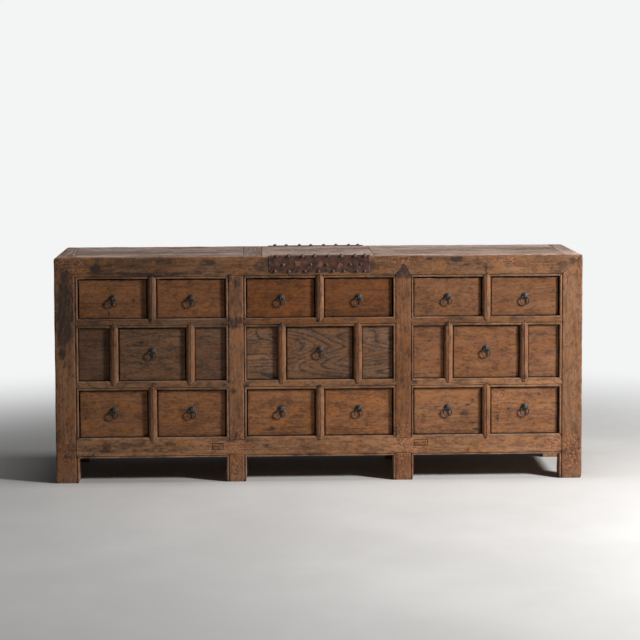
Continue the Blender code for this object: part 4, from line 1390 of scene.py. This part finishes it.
# %% Muntins
MUNTIN_GROOVE = 0.0030
MUNTIN_GROOVE_DEPTH = 0.0036
MUNTIN_PROUD = 0.0050
MUNTIN_SINK = 0.0090
MUNTIN_SLOPE = 0.30
MUNTIN_STEPS = 10
# The powers that crowd the points towards the outer edge and that make its round a tight one
EDGE_CROWDING = 1.5
EDGE_TIGHTNESS = 6
# How dark the painted shade in the groove of the muntin's ridge is
RIDGE_GROOVE_SHADE = 0.62
# Tone and warmth of the muntins of each row, from the left
MUNTIN_SHADES = {
    "left": {"bottom": ((-0.10, 0.05),), "middle": ((-0.13, 0.05), (-0.15, 0.15)), "top": ((-0.35, 0.0),)},
    "centre": {"bottom": ((-0.05, 0.12),), "middle": ((-0.12, 0.05), (-0.17, 0.20)), "top": ((0.0, 0.0),)},
    "right": {"bottom": ((0.0, 0.15),), "middle": ((0.03, 0.18), (-0.12, 0.05)), "top": ((-0.21, 0.08),)},
}


def muntin_outline():
    """Two flanks that rise to a grooved ridge, proud of the rails, with rounded outer edges."""
    half_width = MUNTIN_WIDTH / 2
    roll = MUNTIN_PROUD + MUNTIN_SINK - MUNTIN_SLOPE * half_width
    half = []
    for step in range(MUNTIN_STEPS + 1):
        share = (step / MUNTIN_STEPS) ** EDGE_CROWDING
        across = share * (half_width - MUNTIN_GROOVE / 2)
        flank = MUNTIN_PROUD - MUNTIN_SLOPE * (half_width - across)
        half.append((across, flank - roll * (1 - share) ** EDGE_TIGHTNESS))
    front = half + [(half_width, MUNTIN_PROUD - MUNTIN_GROOVE_DEPTH)]
    front += [(MUNTIN_WIDTH - across, out) for across, out in reversed(half)]
    depths = [-MUNTIN_SINK - 0.003, -DIVIDER_DEPTH / 2, -DIVIDER_DEPTH]
    return front + [(MUNTIN_WIDTH, depth) for depth in depths] + [(0.0, depth) for depth in reversed(depths)]


def muntin(name, span, row, bay, tone, warm):
    low_z, high_z = row_z[row]
    point = MUNTIN_WIDTH / 2
    place = axes((span[0], FACE, low_z - point), *UPRIGHT)
    mesh = mesh_of("muntin", *swept(muntin_outline(), high_z - low_z + 2 * point), place)
    for base, sign in ((low_z, -1), (high_z, 1)):
        mesh = upright_end(mesh, *span, point, base, sign)
    middle = ((span[0] + span[1]) / 2, (low_z + high_z) / 2)
    # Painted shade along the groove of the ridge, as a dark blotch that runs its length
    groove = (*middle, MUNTIN_GROOVE / 2, high_z - low_z, RIDGE_GROOVE_SHADE)
    piece(name, mesh, place, "posts", f"divider_frame_{bay}", tone=tone, warm=warm, nibble=0.0012,
          stains_and_shades=STAINS + (groove,), dirt_from=FACE + MUNTIN_SINK + 0.002)


for bay in BAYS:
    for row in row_z:
        for number, span in enumerate(muntin_spans(bay, row)):
            muntin(f"muntin_{bay}_{row}_{number + 1}", span, row, bay, *MUNTIN_SHADES[bay][row][number])
report("muntins")

# %% Fixed panels
PANEL_THICKNESS = 0.012
PANEL_GAP = 0.0012
PANEL_FINISHES = {"left": "dark_panels", "centre": "striped", "right": "panels"}
PANEL_TONES = {"left": (-0.30, -0.10), "centre": (0.22, 0.04), "right": (-0.06, -0.13)}
# Behind this depth the edges of drawer fronts and panels take painted shade
FRONT_SHADE_FROM = FACE + DRAWER_RECESS + 0.0004
for bay in BAYS:
    low_z, high_z = row_z["middle"]
    first, second = muntin_spans(bay, "middle")
    for number, (low_x, high_x) in enumerate(((bay_x[bay][0], first[0]), (second[1], bay_x[bay][1]))):
        low = (low_x + PANEL_GAP, FACE + DRAWER_RECESS, low_z + PANEL_GAP)
        high = (high_x - PANEL_GAP, FACE + DRAWER_RECESS + PANEL_THICKNESS, high_z - PANEL_GAP)
        board(f"fixed_panel_{bay}_{number + 1}", low, high, LENGTHWISE, PANEL_FINISHES[bay],
              f"divider_frame_{bay}", tone=PANEL_TONES[bay][number], radius=0.0022, cell=CELL,
              dirt_from=FRONT_SHADE_FROM)
report("panels")

# %% [markdown]
# ## Drawers
#
# Each drawer is a box of five boards: a thick front with lengthwise grain, two sides and a back of
# thinner stuff, and a bottom. They ride on the drawer's own body, so they slide together. The front is
# the part that everyone touches, so it gets the polished finish, and the rest stays bare.

# %% Drawer boxes
FRONT_THICKNESS = 0.020
SIDE_THICKNESS = 0.012
BOTTOM_THICKNESS = 0.008
SIDE_DROP = 0.010
SIDEWAYS = ((0, 1, 0), (0, 0, 1), (1, 0, 0))
PLACES = ("top_left", "top_right", "middle", "bottom_left", "bottom_right")
MIDDLE_FINISHES = {"left": "dark_drawers", "centre": "striped", "right": "drawers"}
# Each drawer's tone, and how much warmer than its neighbours it is
DRAWER_TONES = {
    "left": ((-0.15, 0.10), (-0.12, 0.14), (-0.07, 0.05), (-0.06, -0.02), (0.02, 0.0)),
    "centre": ((-0.26, 0.50), (-0.33, 0.46), (-0.02, 0.07), (0.06, 0.08), (0.10, 0.14)),
    "right": ((-0.20, 0.05), (-0.23, 0.07), (-0.08, 0.06), (0.07, -0.05), (0.13, -0.04)),
}
drawer_face = FACE + DRAWER_RECESS


def drawer(bay, place, tone, warm):
    name, node = f"{bay}_{place}", f"drawer_{bay}_bay_{place}"
    low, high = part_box(node)
    front_back, back_front = drawer_face + FRONT_THICKNESS, high.y - SIDE_THICKNESS
    top = high.z - SIDE_DROP
    inner_low, inner_high = low.x + SIDE_THICKNESS, high.x - SIDE_THICKNESS
    finish = MIDDLE_FINISHES[bay] if place == "middle" else "drawers"
    board(f"drawer_front_{name}", (low.x, drawer_face, low.z), (high.x, front_back, high.z), LENGTHWISE,
          finish, node, node, tone=tone, warm=warm, radius=0.0036, cell=CELL, nibble=0.0026, hollow=0.0008,
          dirt_from=FRONT_SHADE_FROM)

    def bare(part, corner_low, corner_high, way):
        board(f"drawer_{part}", corner_low, corner_high, way, "inner", node, node, cell=0.05)

    bare(f"side_{name}_left", (low.x, front_back, low.z), (inner_low, high.y, top), SIDEWAYS)
    bare(f"side_{name}_right", (inner_high, front_back, low.z), (high.x, high.y, top), SIDEWAYS)
    bare(f"back_{name}", (inner_low, back_front, low.z), (inner_high, high.y, top), LENGTHWISE)
    bottom_high = (inner_high, back_front, low.z + BOTTOM_THICKNESS)
    bare(f"bottom_{name}", (inner_low, front_back, low.z), bottom_high, TOP_LENGTHWISE)


for bay in BAYS:
    for place_name, (tone, warm) in zip(PLACES, DRAWER_TONES[bay]):
        drawer(bay, place_name, tone, warm)
report("drawers")

# %% [markdown]
# ## Ring pulls
#
# A round iron boss guards the wood, a split eye stands out of its middle, and a ring hangs in the eye.
# The boss is turned from a profile. The ring is a rod bent round a circle that isn't quite true, as
# hammered rings never are, and it rides on its own body, so it swings.

# %% Bosses, eyes and rings
BOSS_RADIUS = 0.015
BOSS_HEIGHT = 0.005
BOSS_SIDES = 28
WIRE = 0.0026
WIRE_SIDES = 12
HOOP_STEPS = 40
EYE_WIRE = 0.0015
EYE_WIRE_SIDES = 8
EYE_LOOP = 0.0045
EYE_STEPS = 20
# How far a hoop is out of true, and how much wider it is drawn than its box, to make up for the wear
OUT_OF_TRUE = 0.03
WEAR_ALLOWANCE = 0.0003
boss_profile = [(0, 0.0001), (0.72 * BOSS_RADIUS, 0.0001), (BOSS_RADIUS, 0.0002), (BOSS_RADIUS, 0.0012),
                (0.93 * BOSS_RADIUS, 0.0019), (0.84 * BOSS_RADIUS, 0.0017), (0.78 * BOSS_RADIUS, 0.0022),
                (0.66 * BOSS_RADIUS, 0.0035), (0.48 * BOSS_RADIUS, 0.0045), (0.28 * BOSS_RADIUS, BOSS_HEIGHT),
                (0.10 * BOSS_RADIUS, BOSS_HEIGHT), (0, BOSS_HEIGHT)]


def iron_piece(name, points, faces, place, node, nibble, hollow):
    """A small piece of handled iron on its own node's body."""
    piece(name, mesh_of(name, points, faces, place), place, "pull_iron", node, node, nibble=nibble,
          hollow=hollow, stains_and_shades=())


def pull(bay, place_name):
    name = f"{bay}_{place_name}"
    node = f"drawer_{bay}_bay_{place_name}"
    ring_node = f"ring_{bay}_bay_{place_name}"
    joint = next(j for j in frame["joints"] if j["name"] == f"{ring_node}_swing")
    pivot = Vector(joint["pos_m"])
    place = axes((pivot.x, drawer_face, pivot.z), *LENGTHWISE)
    iron_piece(f"boss_{name}", *turned(boss_profile, BOSS_SIDES), place, node, 0.0005, 0.0003)
    # The eye stands on edge, its hole looking sideways along the ring's own pivot
    place = axes(pivot, (0, -1, 0), (0, 0, 1), (1, 0, 0))
    loop = [(x, y, 0.0) for x, y in circle(EYE_LOOP, EYE_STEPS)]
    iron_piece(f"eye_{name}", *bent_rod(loop, EYE_WIRE, EYE_WIRE_SIDES), place, node, 0.0002, 0.0001)
    ring_low, ring_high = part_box(ring_node)
    radius = (ring_high.x - ring_low.x) / 2 - WIRE + WEAR_ALLOWANCE
    rng = np.random.default_rng(seed_of(ring_node))
    squeeze, lean = rng.uniform(-OUT_OF_TRUE, OUT_OF_TRUE), rng.uniform(0, math.pi)
    hoop = []
    for step in range(HOOP_STEPS):
        turn = 2 * math.pi * step / HOOP_STEPS
        bent = radius * (1 + squeeze * math.cos(2 * (turn - lean)) * math.sin(turn / 2) ** 2)
        hoop.append((bent * math.sin(turn), bent * math.cos(turn), 0.0))
    place = axes((ring_low + ring_high) / 2, *LENGTHWISE)
    iron_piece(f"pull_ring_{name}", *bent_rod(hoop, WIRE, WIRE_SIDES), place, ring_node, 0.0003, 0.00025)


for bay in BAYS:
    for place_name in PLACES:
        pull(bay, place_name)
report("pulls")

# %% [markdown]
# ## The top
#
# The top isn't one slab. Old boards of several lengths lie between two end cleats, whose grain runs the
# other way, and a narrow patch fills a gap beside the middle board. All are dry and greyed, so they take
# the top's finish, with their own tones. That finish is paler than the greyed wood alone, as painted sheen
# of a top seen at a low angle.

# %% Boards of the top
CLEAT = 0.068
CLEAT_SLANT = 0.012
PATCH = 0.073
FRONT_BOARD = 0.145
SEAM = 0.0006
left_low, left_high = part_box("top_board_left")
mid_low, mid_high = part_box("top_board_centre")
right_low, right_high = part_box("top_board_right")


def slanted(obj, edge_x, slant):
    """Moves one edge of a board so that it slants over the depth of the top."""
    mesh = obj.data
    points = numbers(mesh.vertices, "co")
    middle = points[:, 0].min() / 2 + points[:, 0].max() / 2
    near = np.abs(points[:, 0] - edge_x) / abs(edge_x - middle)
    depth = (points[:, 1] - left_low.y) / (left_high.y - left_low.y)
    points[:, 0] += np.clip(1 - near, 0, 1) * slant * (1 - 2 * depth)
    moved(mesh, points)
    mesh.update()


def top_boards(side, span_x, splits_y, low, high, tones, slant_at=None, slant=0.0):
    """The boards of one part of the top, from front to back."""
    edges = [low.y, *splits_y, high.y]
    for number in range(len(edges) - 1):
        corner_low = (span_x[0] + SEAM / 2, edges[number] + SEAM / 2, low.z)
        corner_high = (span_x[1] - SEAM / 2, edges[number + 1] - SEAM / 2, high.z)
        obj = board(f"top_board_{side}_{number + 1}", corner_low, corner_high, TOP_LENGTHWISE, "top",
                    f"top_board_{side}", tone=tones[number], radius=0.0016, cell=0.016, nibble=0.0018,
                    hollow=0.0007)
        if slant_at is not None:
            slanted(obj, slant_at, slant)


def cleat(side, low, high, slant_at, slant):
    obj = board(f"top_cleat_{side}", low, high, TOP_CROSSWISE, "top", f"top_board_{side}", tone=0.02,
                radius=0.0025, cell=0.014, nibble=0.003, hollow=0.0008)
    slanted(obj, slant_at, slant)


joint_left = left_low.x + CLEAT
joint_right = right_high.x - CLEAT
patch_x = left_high.x - PATCH
cleat("left", left_low, (joint_left - SEAM, left_high.y, left_high.z), joint_left, CLEAT_SLANT)
top_boards("left", (joint_left, patch_x), (left_low.y + FRONT_BOARD, 0.07), left_low, left_high,
           (-0.03, -0.23, 0.0), joint_left, CLEAT_SLANT)
board("top_patch", (patch_x, left_low.y, left_low.z), (left_high.x - SEAM, left_high.y, left_high.z),
      TOP_CROSSWISE, "top", "top_board_left", tone=-0.10, radius=0.0014, cell=0.014, hollow=0.0007)
top_boards("centre", (mid_low.x, mid_high.x), (0.03,), mid_low, mid_high, (0.10, -0.06))
top_boards("right", (right_low.x, joint_right), (-0.05, 0.11), right_low, right_high,
           (0.08, -0.12, 0.03), joint_right, -CLEAT_SLANT / 2)
cleat("right", (joint_right + SEAM, right_low.y, right_low.z), right_high, joint_right, -CLEAT_SLANT / 2)
report("top")

# %% [markdown]
# ## Sides, back and inside
#
# The ends are frames too: rails between the posts with a panel of three boards. The back is rough
# vertical boards between its rails. The boards that the drawers run on never see light, so the frame's
# own solids stay there, with the bare wood as their finish.

# %% Sides
REAR_ARRIS = 0.004
SIDE_BOARD_TONES = (-0.1, 0.12, -0.02)
for side, sign in (("left", -1), ("right", 1)):
    low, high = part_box(f"rear_end_post_{side}")
    inner_x, outer_x = (high.x, low.x) if sign < 0 else (low.x, high.x)
    place = axes((low.x, REAR, 0), *REAR_UPRIGHT)
    outline = timber_outline(high.x - low.x, high.y - low.y, arris=REAR_ARRIS)
    mesh = mesh_of("rear_post", *swept(outline, TOP), place)
    mesh = cut(mesh, [right_through(corner_mitre(inner_x, outer_x, True), at_rear=True)])
    mesh = cut(mesh, [(top_bed, REAR - THROUGH, REAR - (bed_face - FACE))])
    piece(f"rear_post_{side}", mesh, place, "posts", f"rear_end_post_{side}", tone=-0.1, nibble=0.003,
          hollow=0.0008)
    for kind in ("top_end_rail", "bottom_side_rail"):
        node = f"{kind}_{side}"
        way = ((0, 1, 0), (0, 0, 1), (sign, 0, 0))
        board(f"{kind}_of_{side}_end", *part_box(node), way, "rails", node, radius=0.0025, nibble=0.002,
              hollow=0.0006)
    low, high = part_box(f"side_panel_{side}")
    width = (high.y - low.y) / len(SIDE_BOARD_TONES)
    way = ((0, 0, 1), (0, 1, 0), (sign, 0, 0))
    for number, tone in enumerate(SIDE_BOARD_TONES):
        start = low.y + number * width
        board(f"side_board_{side}_{number + 1}", (low.x, start + SEAM / 2, low.z),
              (high.x, start + width - SEAM / 2, high.z), way, "panels", f"side_panel_{side}", tone=tone,
              radius=0.0012)
report("sides")

# %% Back and inside
BACK_BOARDS = 13
BACK_TONE = -0.28
BACK_TONE_SWING = 0.09
UNSEEN = ("rear_mid_post_left", "rear_mid_post_right", "bottom_board", "dust_board_lower", "dust_board_upper")
low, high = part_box("top_back_rail")
place = axes((low.x, REAR, RAIL_BASE), *REAR_LENGTHWISE)
mesh = mesh_of("top_rail_back", *swept(top_rail_outline(high.y - low.y, 0.0), high.x - low.x), place)
mesh = cut(mesh, [right_through(waste, at_rear=True) for waste in corner_mitres])
piece("top_rail_back", mesh, place, "rails", "top_back_rail", tone=-0.1, nibble=0.0035, hollow=0.0008)
board("bottom_rail_back", *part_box("bottom_back_rail"), REAR_LENGTHWISE, "rails", "bottom_back_rail",
      tone=-0.15, radius=0.0025)
low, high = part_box("back_panel")
width = (high.x - low.x) / BACK_BOARDS
for number in range(BACK_BOARDS):
    start = low.x + number * width
    tone = BACK_TONE_SWING * math.sin(2.4 * number) + BACK_TONE
    board(f"back_board_{number + 1}", (start + SEAM, low.y, low.z), (start + width - SEAM, high.y, high.z),
          REAR_UPRIGHT, "inner", "back_panel", tone=tone, radius=0.0012, cell=0.03, hollow=0.001)
for node in UNSEEN:
    frame["nodes"][node].data.materials.clear()
    frame["nodes"][node].data.materials.append(finishes["carcase"])
report("back")

# %% [markdown]
# ## The studded iron band
#
# A strip of wrought iron is folded over the middle of the front arris, and another over the back one.
# Round-headed studs go through it in three rows: big ones astride the arris, small ones on the face.
# The strip's lower edge was cut by hand, so it wanders.

# %% The folded strip
BAND_LIP = 0.016
BAND_METAL = 0.002
WOOD_CLEARANCE = 0.0003
FOLD_STEPS = 4
# Rows of points: up the face of the strip from its lower edge, and down its inside from the fold
FACE_DEPTHS = (0.003, 0.010, 0.020, 0.030, 0.040, 0.050)
INSIDE_DEPTHS = (0.006, 0.020, 0.030, 0.040, 0.050)
EDGE_WANDER = 0.004
EDGE_WAVE = 0.045
END_WANDER = 0.003
END_WAVE = 0.03
END_REACH = 0.012
# Places of orange rust, written like the marks on the front
RUST = ((-0.085, 0.860, 0.009, 0.008, 0.8), (0.001, 0.859, 0.009, 0.009, 0.8),
        (0.081, 0.859, 0.010, 0.008, 0.8), (0.160, 0.850, 0.006, 0.006, 0.6),
        (-0.170, 0.862, 0.006, 0.006, 0.5))


def band_outline(drop):
    """Across is down the face, out is away from it: the fold at the top, a lip back over the top."""
    face = [(drop - depth, 0.0) for depth in (0, *FACE_DEPTHS, drop - 0.006)]
    turns = [math.pi / 2 * i / FOLD_STEPS for i in range(1, FOLD_STEPS)]
    fold = [(-BAND_METAL * math.sin(turn), -BAND_METAL * (1 - math.cos(turn))) for turn in turns]
    lip = [(-BAND_METAL, -BAND_METAL - depth) for depth in (0.003, 0.008, BAND_LIP)]
    under = [(-0.0002, -BAND_METAL - BAND_LIP), (-0.0002, -BAND_METAL - 0.008),
             (0.0, -BAND_METAL + WOOD_CLEARANCE)]
    inside = [(depth, -BAND_METAL + WOOD_CLEARANCE) for depth in (*INSIDE_DEPTHS, drop - 0.003, drop)]
    return face + [(0.0, 0.0)] + fold + lip + under + inside


def band_strip(side, way_out, face_y):
    """The strip of one side, with a wandering lower edge and ragged ends."""
    node = f"iron_band_{side}"
    low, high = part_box(node)
    drop = TOP - low.z
    surface = face_y + way_out * (FIT_GAP + BAND_METAL)
    place = axes((low.x, surface, TOP + FIT_GAP), (1, 0, 0), (0, 0, -1), (0, way_out, 0))
    mesh = mesh_of("band", *swept(band_outline(drop), high.x - low.x), place)
    points = numbers(mesh.vertices, "co")
    hang = np.clip((TOP - 0.75 * drop - points[:, 2]) / (0.25 * drop), 0, 1)
    points[:, 2] += hang * EDGE_WANDER * (0.4 + field(points, seed_of(node), EDGE_WAVE))
    end_x = high.x - END_REACH
    near_end = np.clip(np.abs(points[:, 0]) / end_x - 1, 0, 1) / (END_REACH / end_x)
    ragged = np.abs(field(points, seed_of(node) + 5, END_WAVE))
    points[:, 0] -= np.sign(points[:, 0]) * near_end * END_WANDER * ragged
    moved(mesh, points)
    piece(f"band_strip_{side}", mesh, place, "iron", node, nibble=0.0004, hollow=0.0002, corner=50,
          stains_and_shades=RUST)
    return place


# %% Studs
STUD_SIDES = 14
ARRIS_STUD = 0.0080
FACE_STUD = 0.0068
FACE_STUD_HEIGHT = 0.0062
STUD_LEAN = 0.12
# The places of the studs of each row, as shares of half the band's length
STUD_ROWS = {
    "arris": (-0.89, -0.64, -0.35, -0.10, 0.18, 0.45, 0.73, 0.93),
    "upper": (-0.75, -0.18, 0.14, 0.63, 0.85),
    "lower": (-0.92, -0.63, -0.30, -0.02, 0.28, 0.50, 0.77, 0.93),
}
# How far down the band the two rows on the face lie
ROW_LEVELS = {"upper": 0.51, "lower": 0.90}


def stud_row(side, way_out, face_y, place, row):
    """The domed heads of one row, as one mesh with the strip's own place."""
    node = f"iron_band_{side}"
    low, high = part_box(node)
    drop = TOP - low.z
    surface = face_y + way_out * (FIT_GAP + BAND_METAL)
    reach = (high.x - low.x) / 2 - ARRIS_STUD
    points, faces = [], []
    for number, share in enumerate(STUD_ROWS[row]):
        rng = np.random.default_rng(seed_of(f"{node}{row}{number}"))
        grow = rng.uniform(0.88, 1.08)
        if row == "arris":
            radius, tall = ARRIS_STUD * grow, ARRIS_STUD * grow
            profile = [(0, -0.004), (0.45 * radius, -0.004), (0.72 * radius, -0.002), (0.95 * radius, 0.0),
                       (radius, 0.22 * tall), (0.93 * radius, 0.48 * tall), (0.74 * radius, 0.72 * tall),
                       (0.42 * radius, 0.92 * tall), (0, tall)]
            tilt = math.radians(rng.uniform(36, 52))
            base = Vector((share * reach, face_y + way_out * 0.001, TOP - 0.0005))
        else:
            radius, tall = FACE_STUD * grow, FACE_STUD_HEIGHT * grow
            profile = [(0, -0.001), (0.9 * radius, -0.001), (radius, 0.0003), (0.97 * radius, 0.25 * tall),
                       (0.82 * radius, 0.58 * tall), (0.5 * radius, 0.88 * tall), (0, tall)]
            tilt = math.radians(rng.uniform(-6, 6))
            level = ROW_LEVELS[row] * drop
            base = Vector((share * reach, surface - way_out * 0.0004, TOP - level))
        head, head_faces = turned(profile, STUD_SIDES)
        lean = Matrix.Rotation(rng.uniform(-STUD_LEAN, STUD_LEAN), 3, "Z")
        out = Vector((0, way_out * math.cos(tilt), math.sin(tilt)))
        stud_place = axes(base, (1, 0, 0), Vector((1, 0, 0)).cross(out), lean @ out)
        start = len(points)
        points += [stud_place @ Vector(point) for point in head]
        faces += [tuple(start + i for i in face) for face in head_faces]
    piece(f"studs_{side}_{row}", mesh_of("studs", points, faces), place, "iron", node, nibble=0.0006,
          hollow=0.0003, corner=50, stains_and_shades=RUST)


for side, way_out, face_y in (("front", -1, FACE), ("rear", 1, REAR)):
    place = band_strip(side, way_out, face_y)
    for row in STUD_ROWS:
        stud_row(side, way_out, face_y, place, row)
report("iron")

# %% [markdown]
# ## Camera, floor and light
#
# The camera stands well back with a long lens, a little to the left of the middle. It is tilted only
# slightly down and its lens is shifted the rest of the way, so that the posts stay nearly upright in
# the picture.
#
# A small soft lamp on the right is the key. It gives the drawers their shadow along the right jamb. A
# long soft lamp overhead lights the top and the floor, and a dim room keeps the shadows from going
# black. The floor is plain and pale, and the world shows white to the camera.

# %% Camera
TILT_DOWN = 3.73
ROLL = 0.2
TURN = -2.05
camera = bpy.data.objects.new("camera", bpy.data.cameras.new("camera"))
bpy.context.scene.collection.objects.link(camera)
camera.location = (-0.257, -7.38, 1.531)
camera.rotation_euler = (math.radians(90 - TILT_DOWN), math.radians(ROLL), math.radians(TURN))
camera.data.sensor_width = 36
camera.data.lens = 102.8
camera.data.shift_x = 0.0022
camera.data.shift_y = -0.1686
bpy.context.scene.camera = camera
print("camera at", [round(x, 3) for x in camera.location])

# %% Floor
FLOOR_RADIUS = 14.0
FLOOR_DARK = (0.60, 0.59, 0.575, 1)
FLOOR_PALE = (0.66, 0.65, 0.635, 1)
BACKDROP = (0.90, 0.905, 0.91, 1)
# Where the floor gives way to the white backdrop: a ring round a point in front of the chest
FADE_OFFSET = (0.0, 1.3, 0.0)
FADE_START = 2.1
FADE_END = 4.3
floor_mesh = bpy.data.meshes.new("floor")
bm = bmesh.new()
bmesh.ops.create_circle(bm, cap_ends=True, segments=96, radius=FLOOR_RADIUS)
bm.to_mesh(floor_mesh)
bm.free()
floor = bpy.data.objects.new("floor", floor_mesh)
bpy.context.scene.collection.objects.link(floor)
floor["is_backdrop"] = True
pale, tree = new_material("pale_floor")
spot = put(tree, "TexCoord").outputs["Object"]
scuffs = cloud(tree, spot, (1.1, 1.1, 1.1), 4.0, 0.6)
colour = blended(tree, ranged(tree, scuffs, 0.35, 0.65), FLOOR_DARK, FLOOR_PALE)
sheen_of(tree, Base_Color=colour, Roughness=0.6, Specular_IOR_Level=0.25)
ahead = put(tree, "VectorMath", {0: spot, 1: FADE_OFFSET}, operation="ADD").outputs[0]
distance = put(tree, "VectorMath", {0: ahead}, operation="LENGTH").outputs["Value"]
light_path = put(tree, "LightPath").outputs
seen = figured(tree, "MAXIMUM", light_path["Is Camera Ray"], light_path["Is Glossy Ray"])
seen = figured(tree, "MAXIMUM", seen, light_path["Is Transmission Ray"])
far = times(tree, ranged(tree, distance, FADE_START, FADE_END), seen)
white = put(tree, "Emission", {"Color": BACKDROP, "Strength": 1.0}).outputs[0]
ground = put(tree, "MixShader", {0: far, 1: tree.nodes["Principled BSDF"].outputs[0], 2: white}).outputs[0]
tree.links.new(ground, tree.nodes["Material Output"].inputs[0])
floor_mesh.materials.append(pale)
print("floor:", FLOOR_RADIUS, "m in radius")

# %% Lamps and room
KEY_WATTS = 208
OVERHEAD_WATTS = 58
DIM_ROOM = (0.036, 0.037, 0.039, 1)


def soft_lamp(name, location, target, size, power):
    data = bpy.data.lights.new(name, "AREA")
    data.shape, data.size, data.size_y, data.energy = "RECTANGLE", size[0], size[1], power
    lamp = bpy.data.objects.new(name, data)
    lamp.location = location
    lamp.rotation_euler = (Vector(target) - Vector(location)).to_track_quat("-Z", "Y").to_euler()
    bpy.context.scene.collection.objects.link(lamp)


soft_lamp("key", (3.2, -2.0, 2.1), (0, 0, 0.45), (0.6, 0.6), KEY_WATTS)
soft_lamp("overhead", (0.2, -0.25, 4.2), (0.2, -0.25, 0.0), (2.6, 0.8), OVERHEAD_WATTS)

world = bpy.data.worlds.new("room")
bpy.context.scene.world = world
world.use_nodes = True
tree = world.node_tree
light_path = put(tree, "LightPath").outputs
tone = blended(tree, light_path["Is Camera Ray"], DIM_ROOM, BACKDROP)
tree.links.new(tone, tree.nodes["Background"].inputs["Color"])
bpy.context.scene.view_settings.view_transform = "Standard"

# %% [markdown]
# ## The sizes at the end
#
# The box of the frame and the box of the finished model are printed side by side. The dressed chest may
# not outgrow the frame.

# %% Sizes and finish
low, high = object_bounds()
report("everything")
print("cad box", [round(x, 4) for x in (*cad_low, *cad_high)])
print("visual box", [round(x, 4) for x in (*low, *high)])
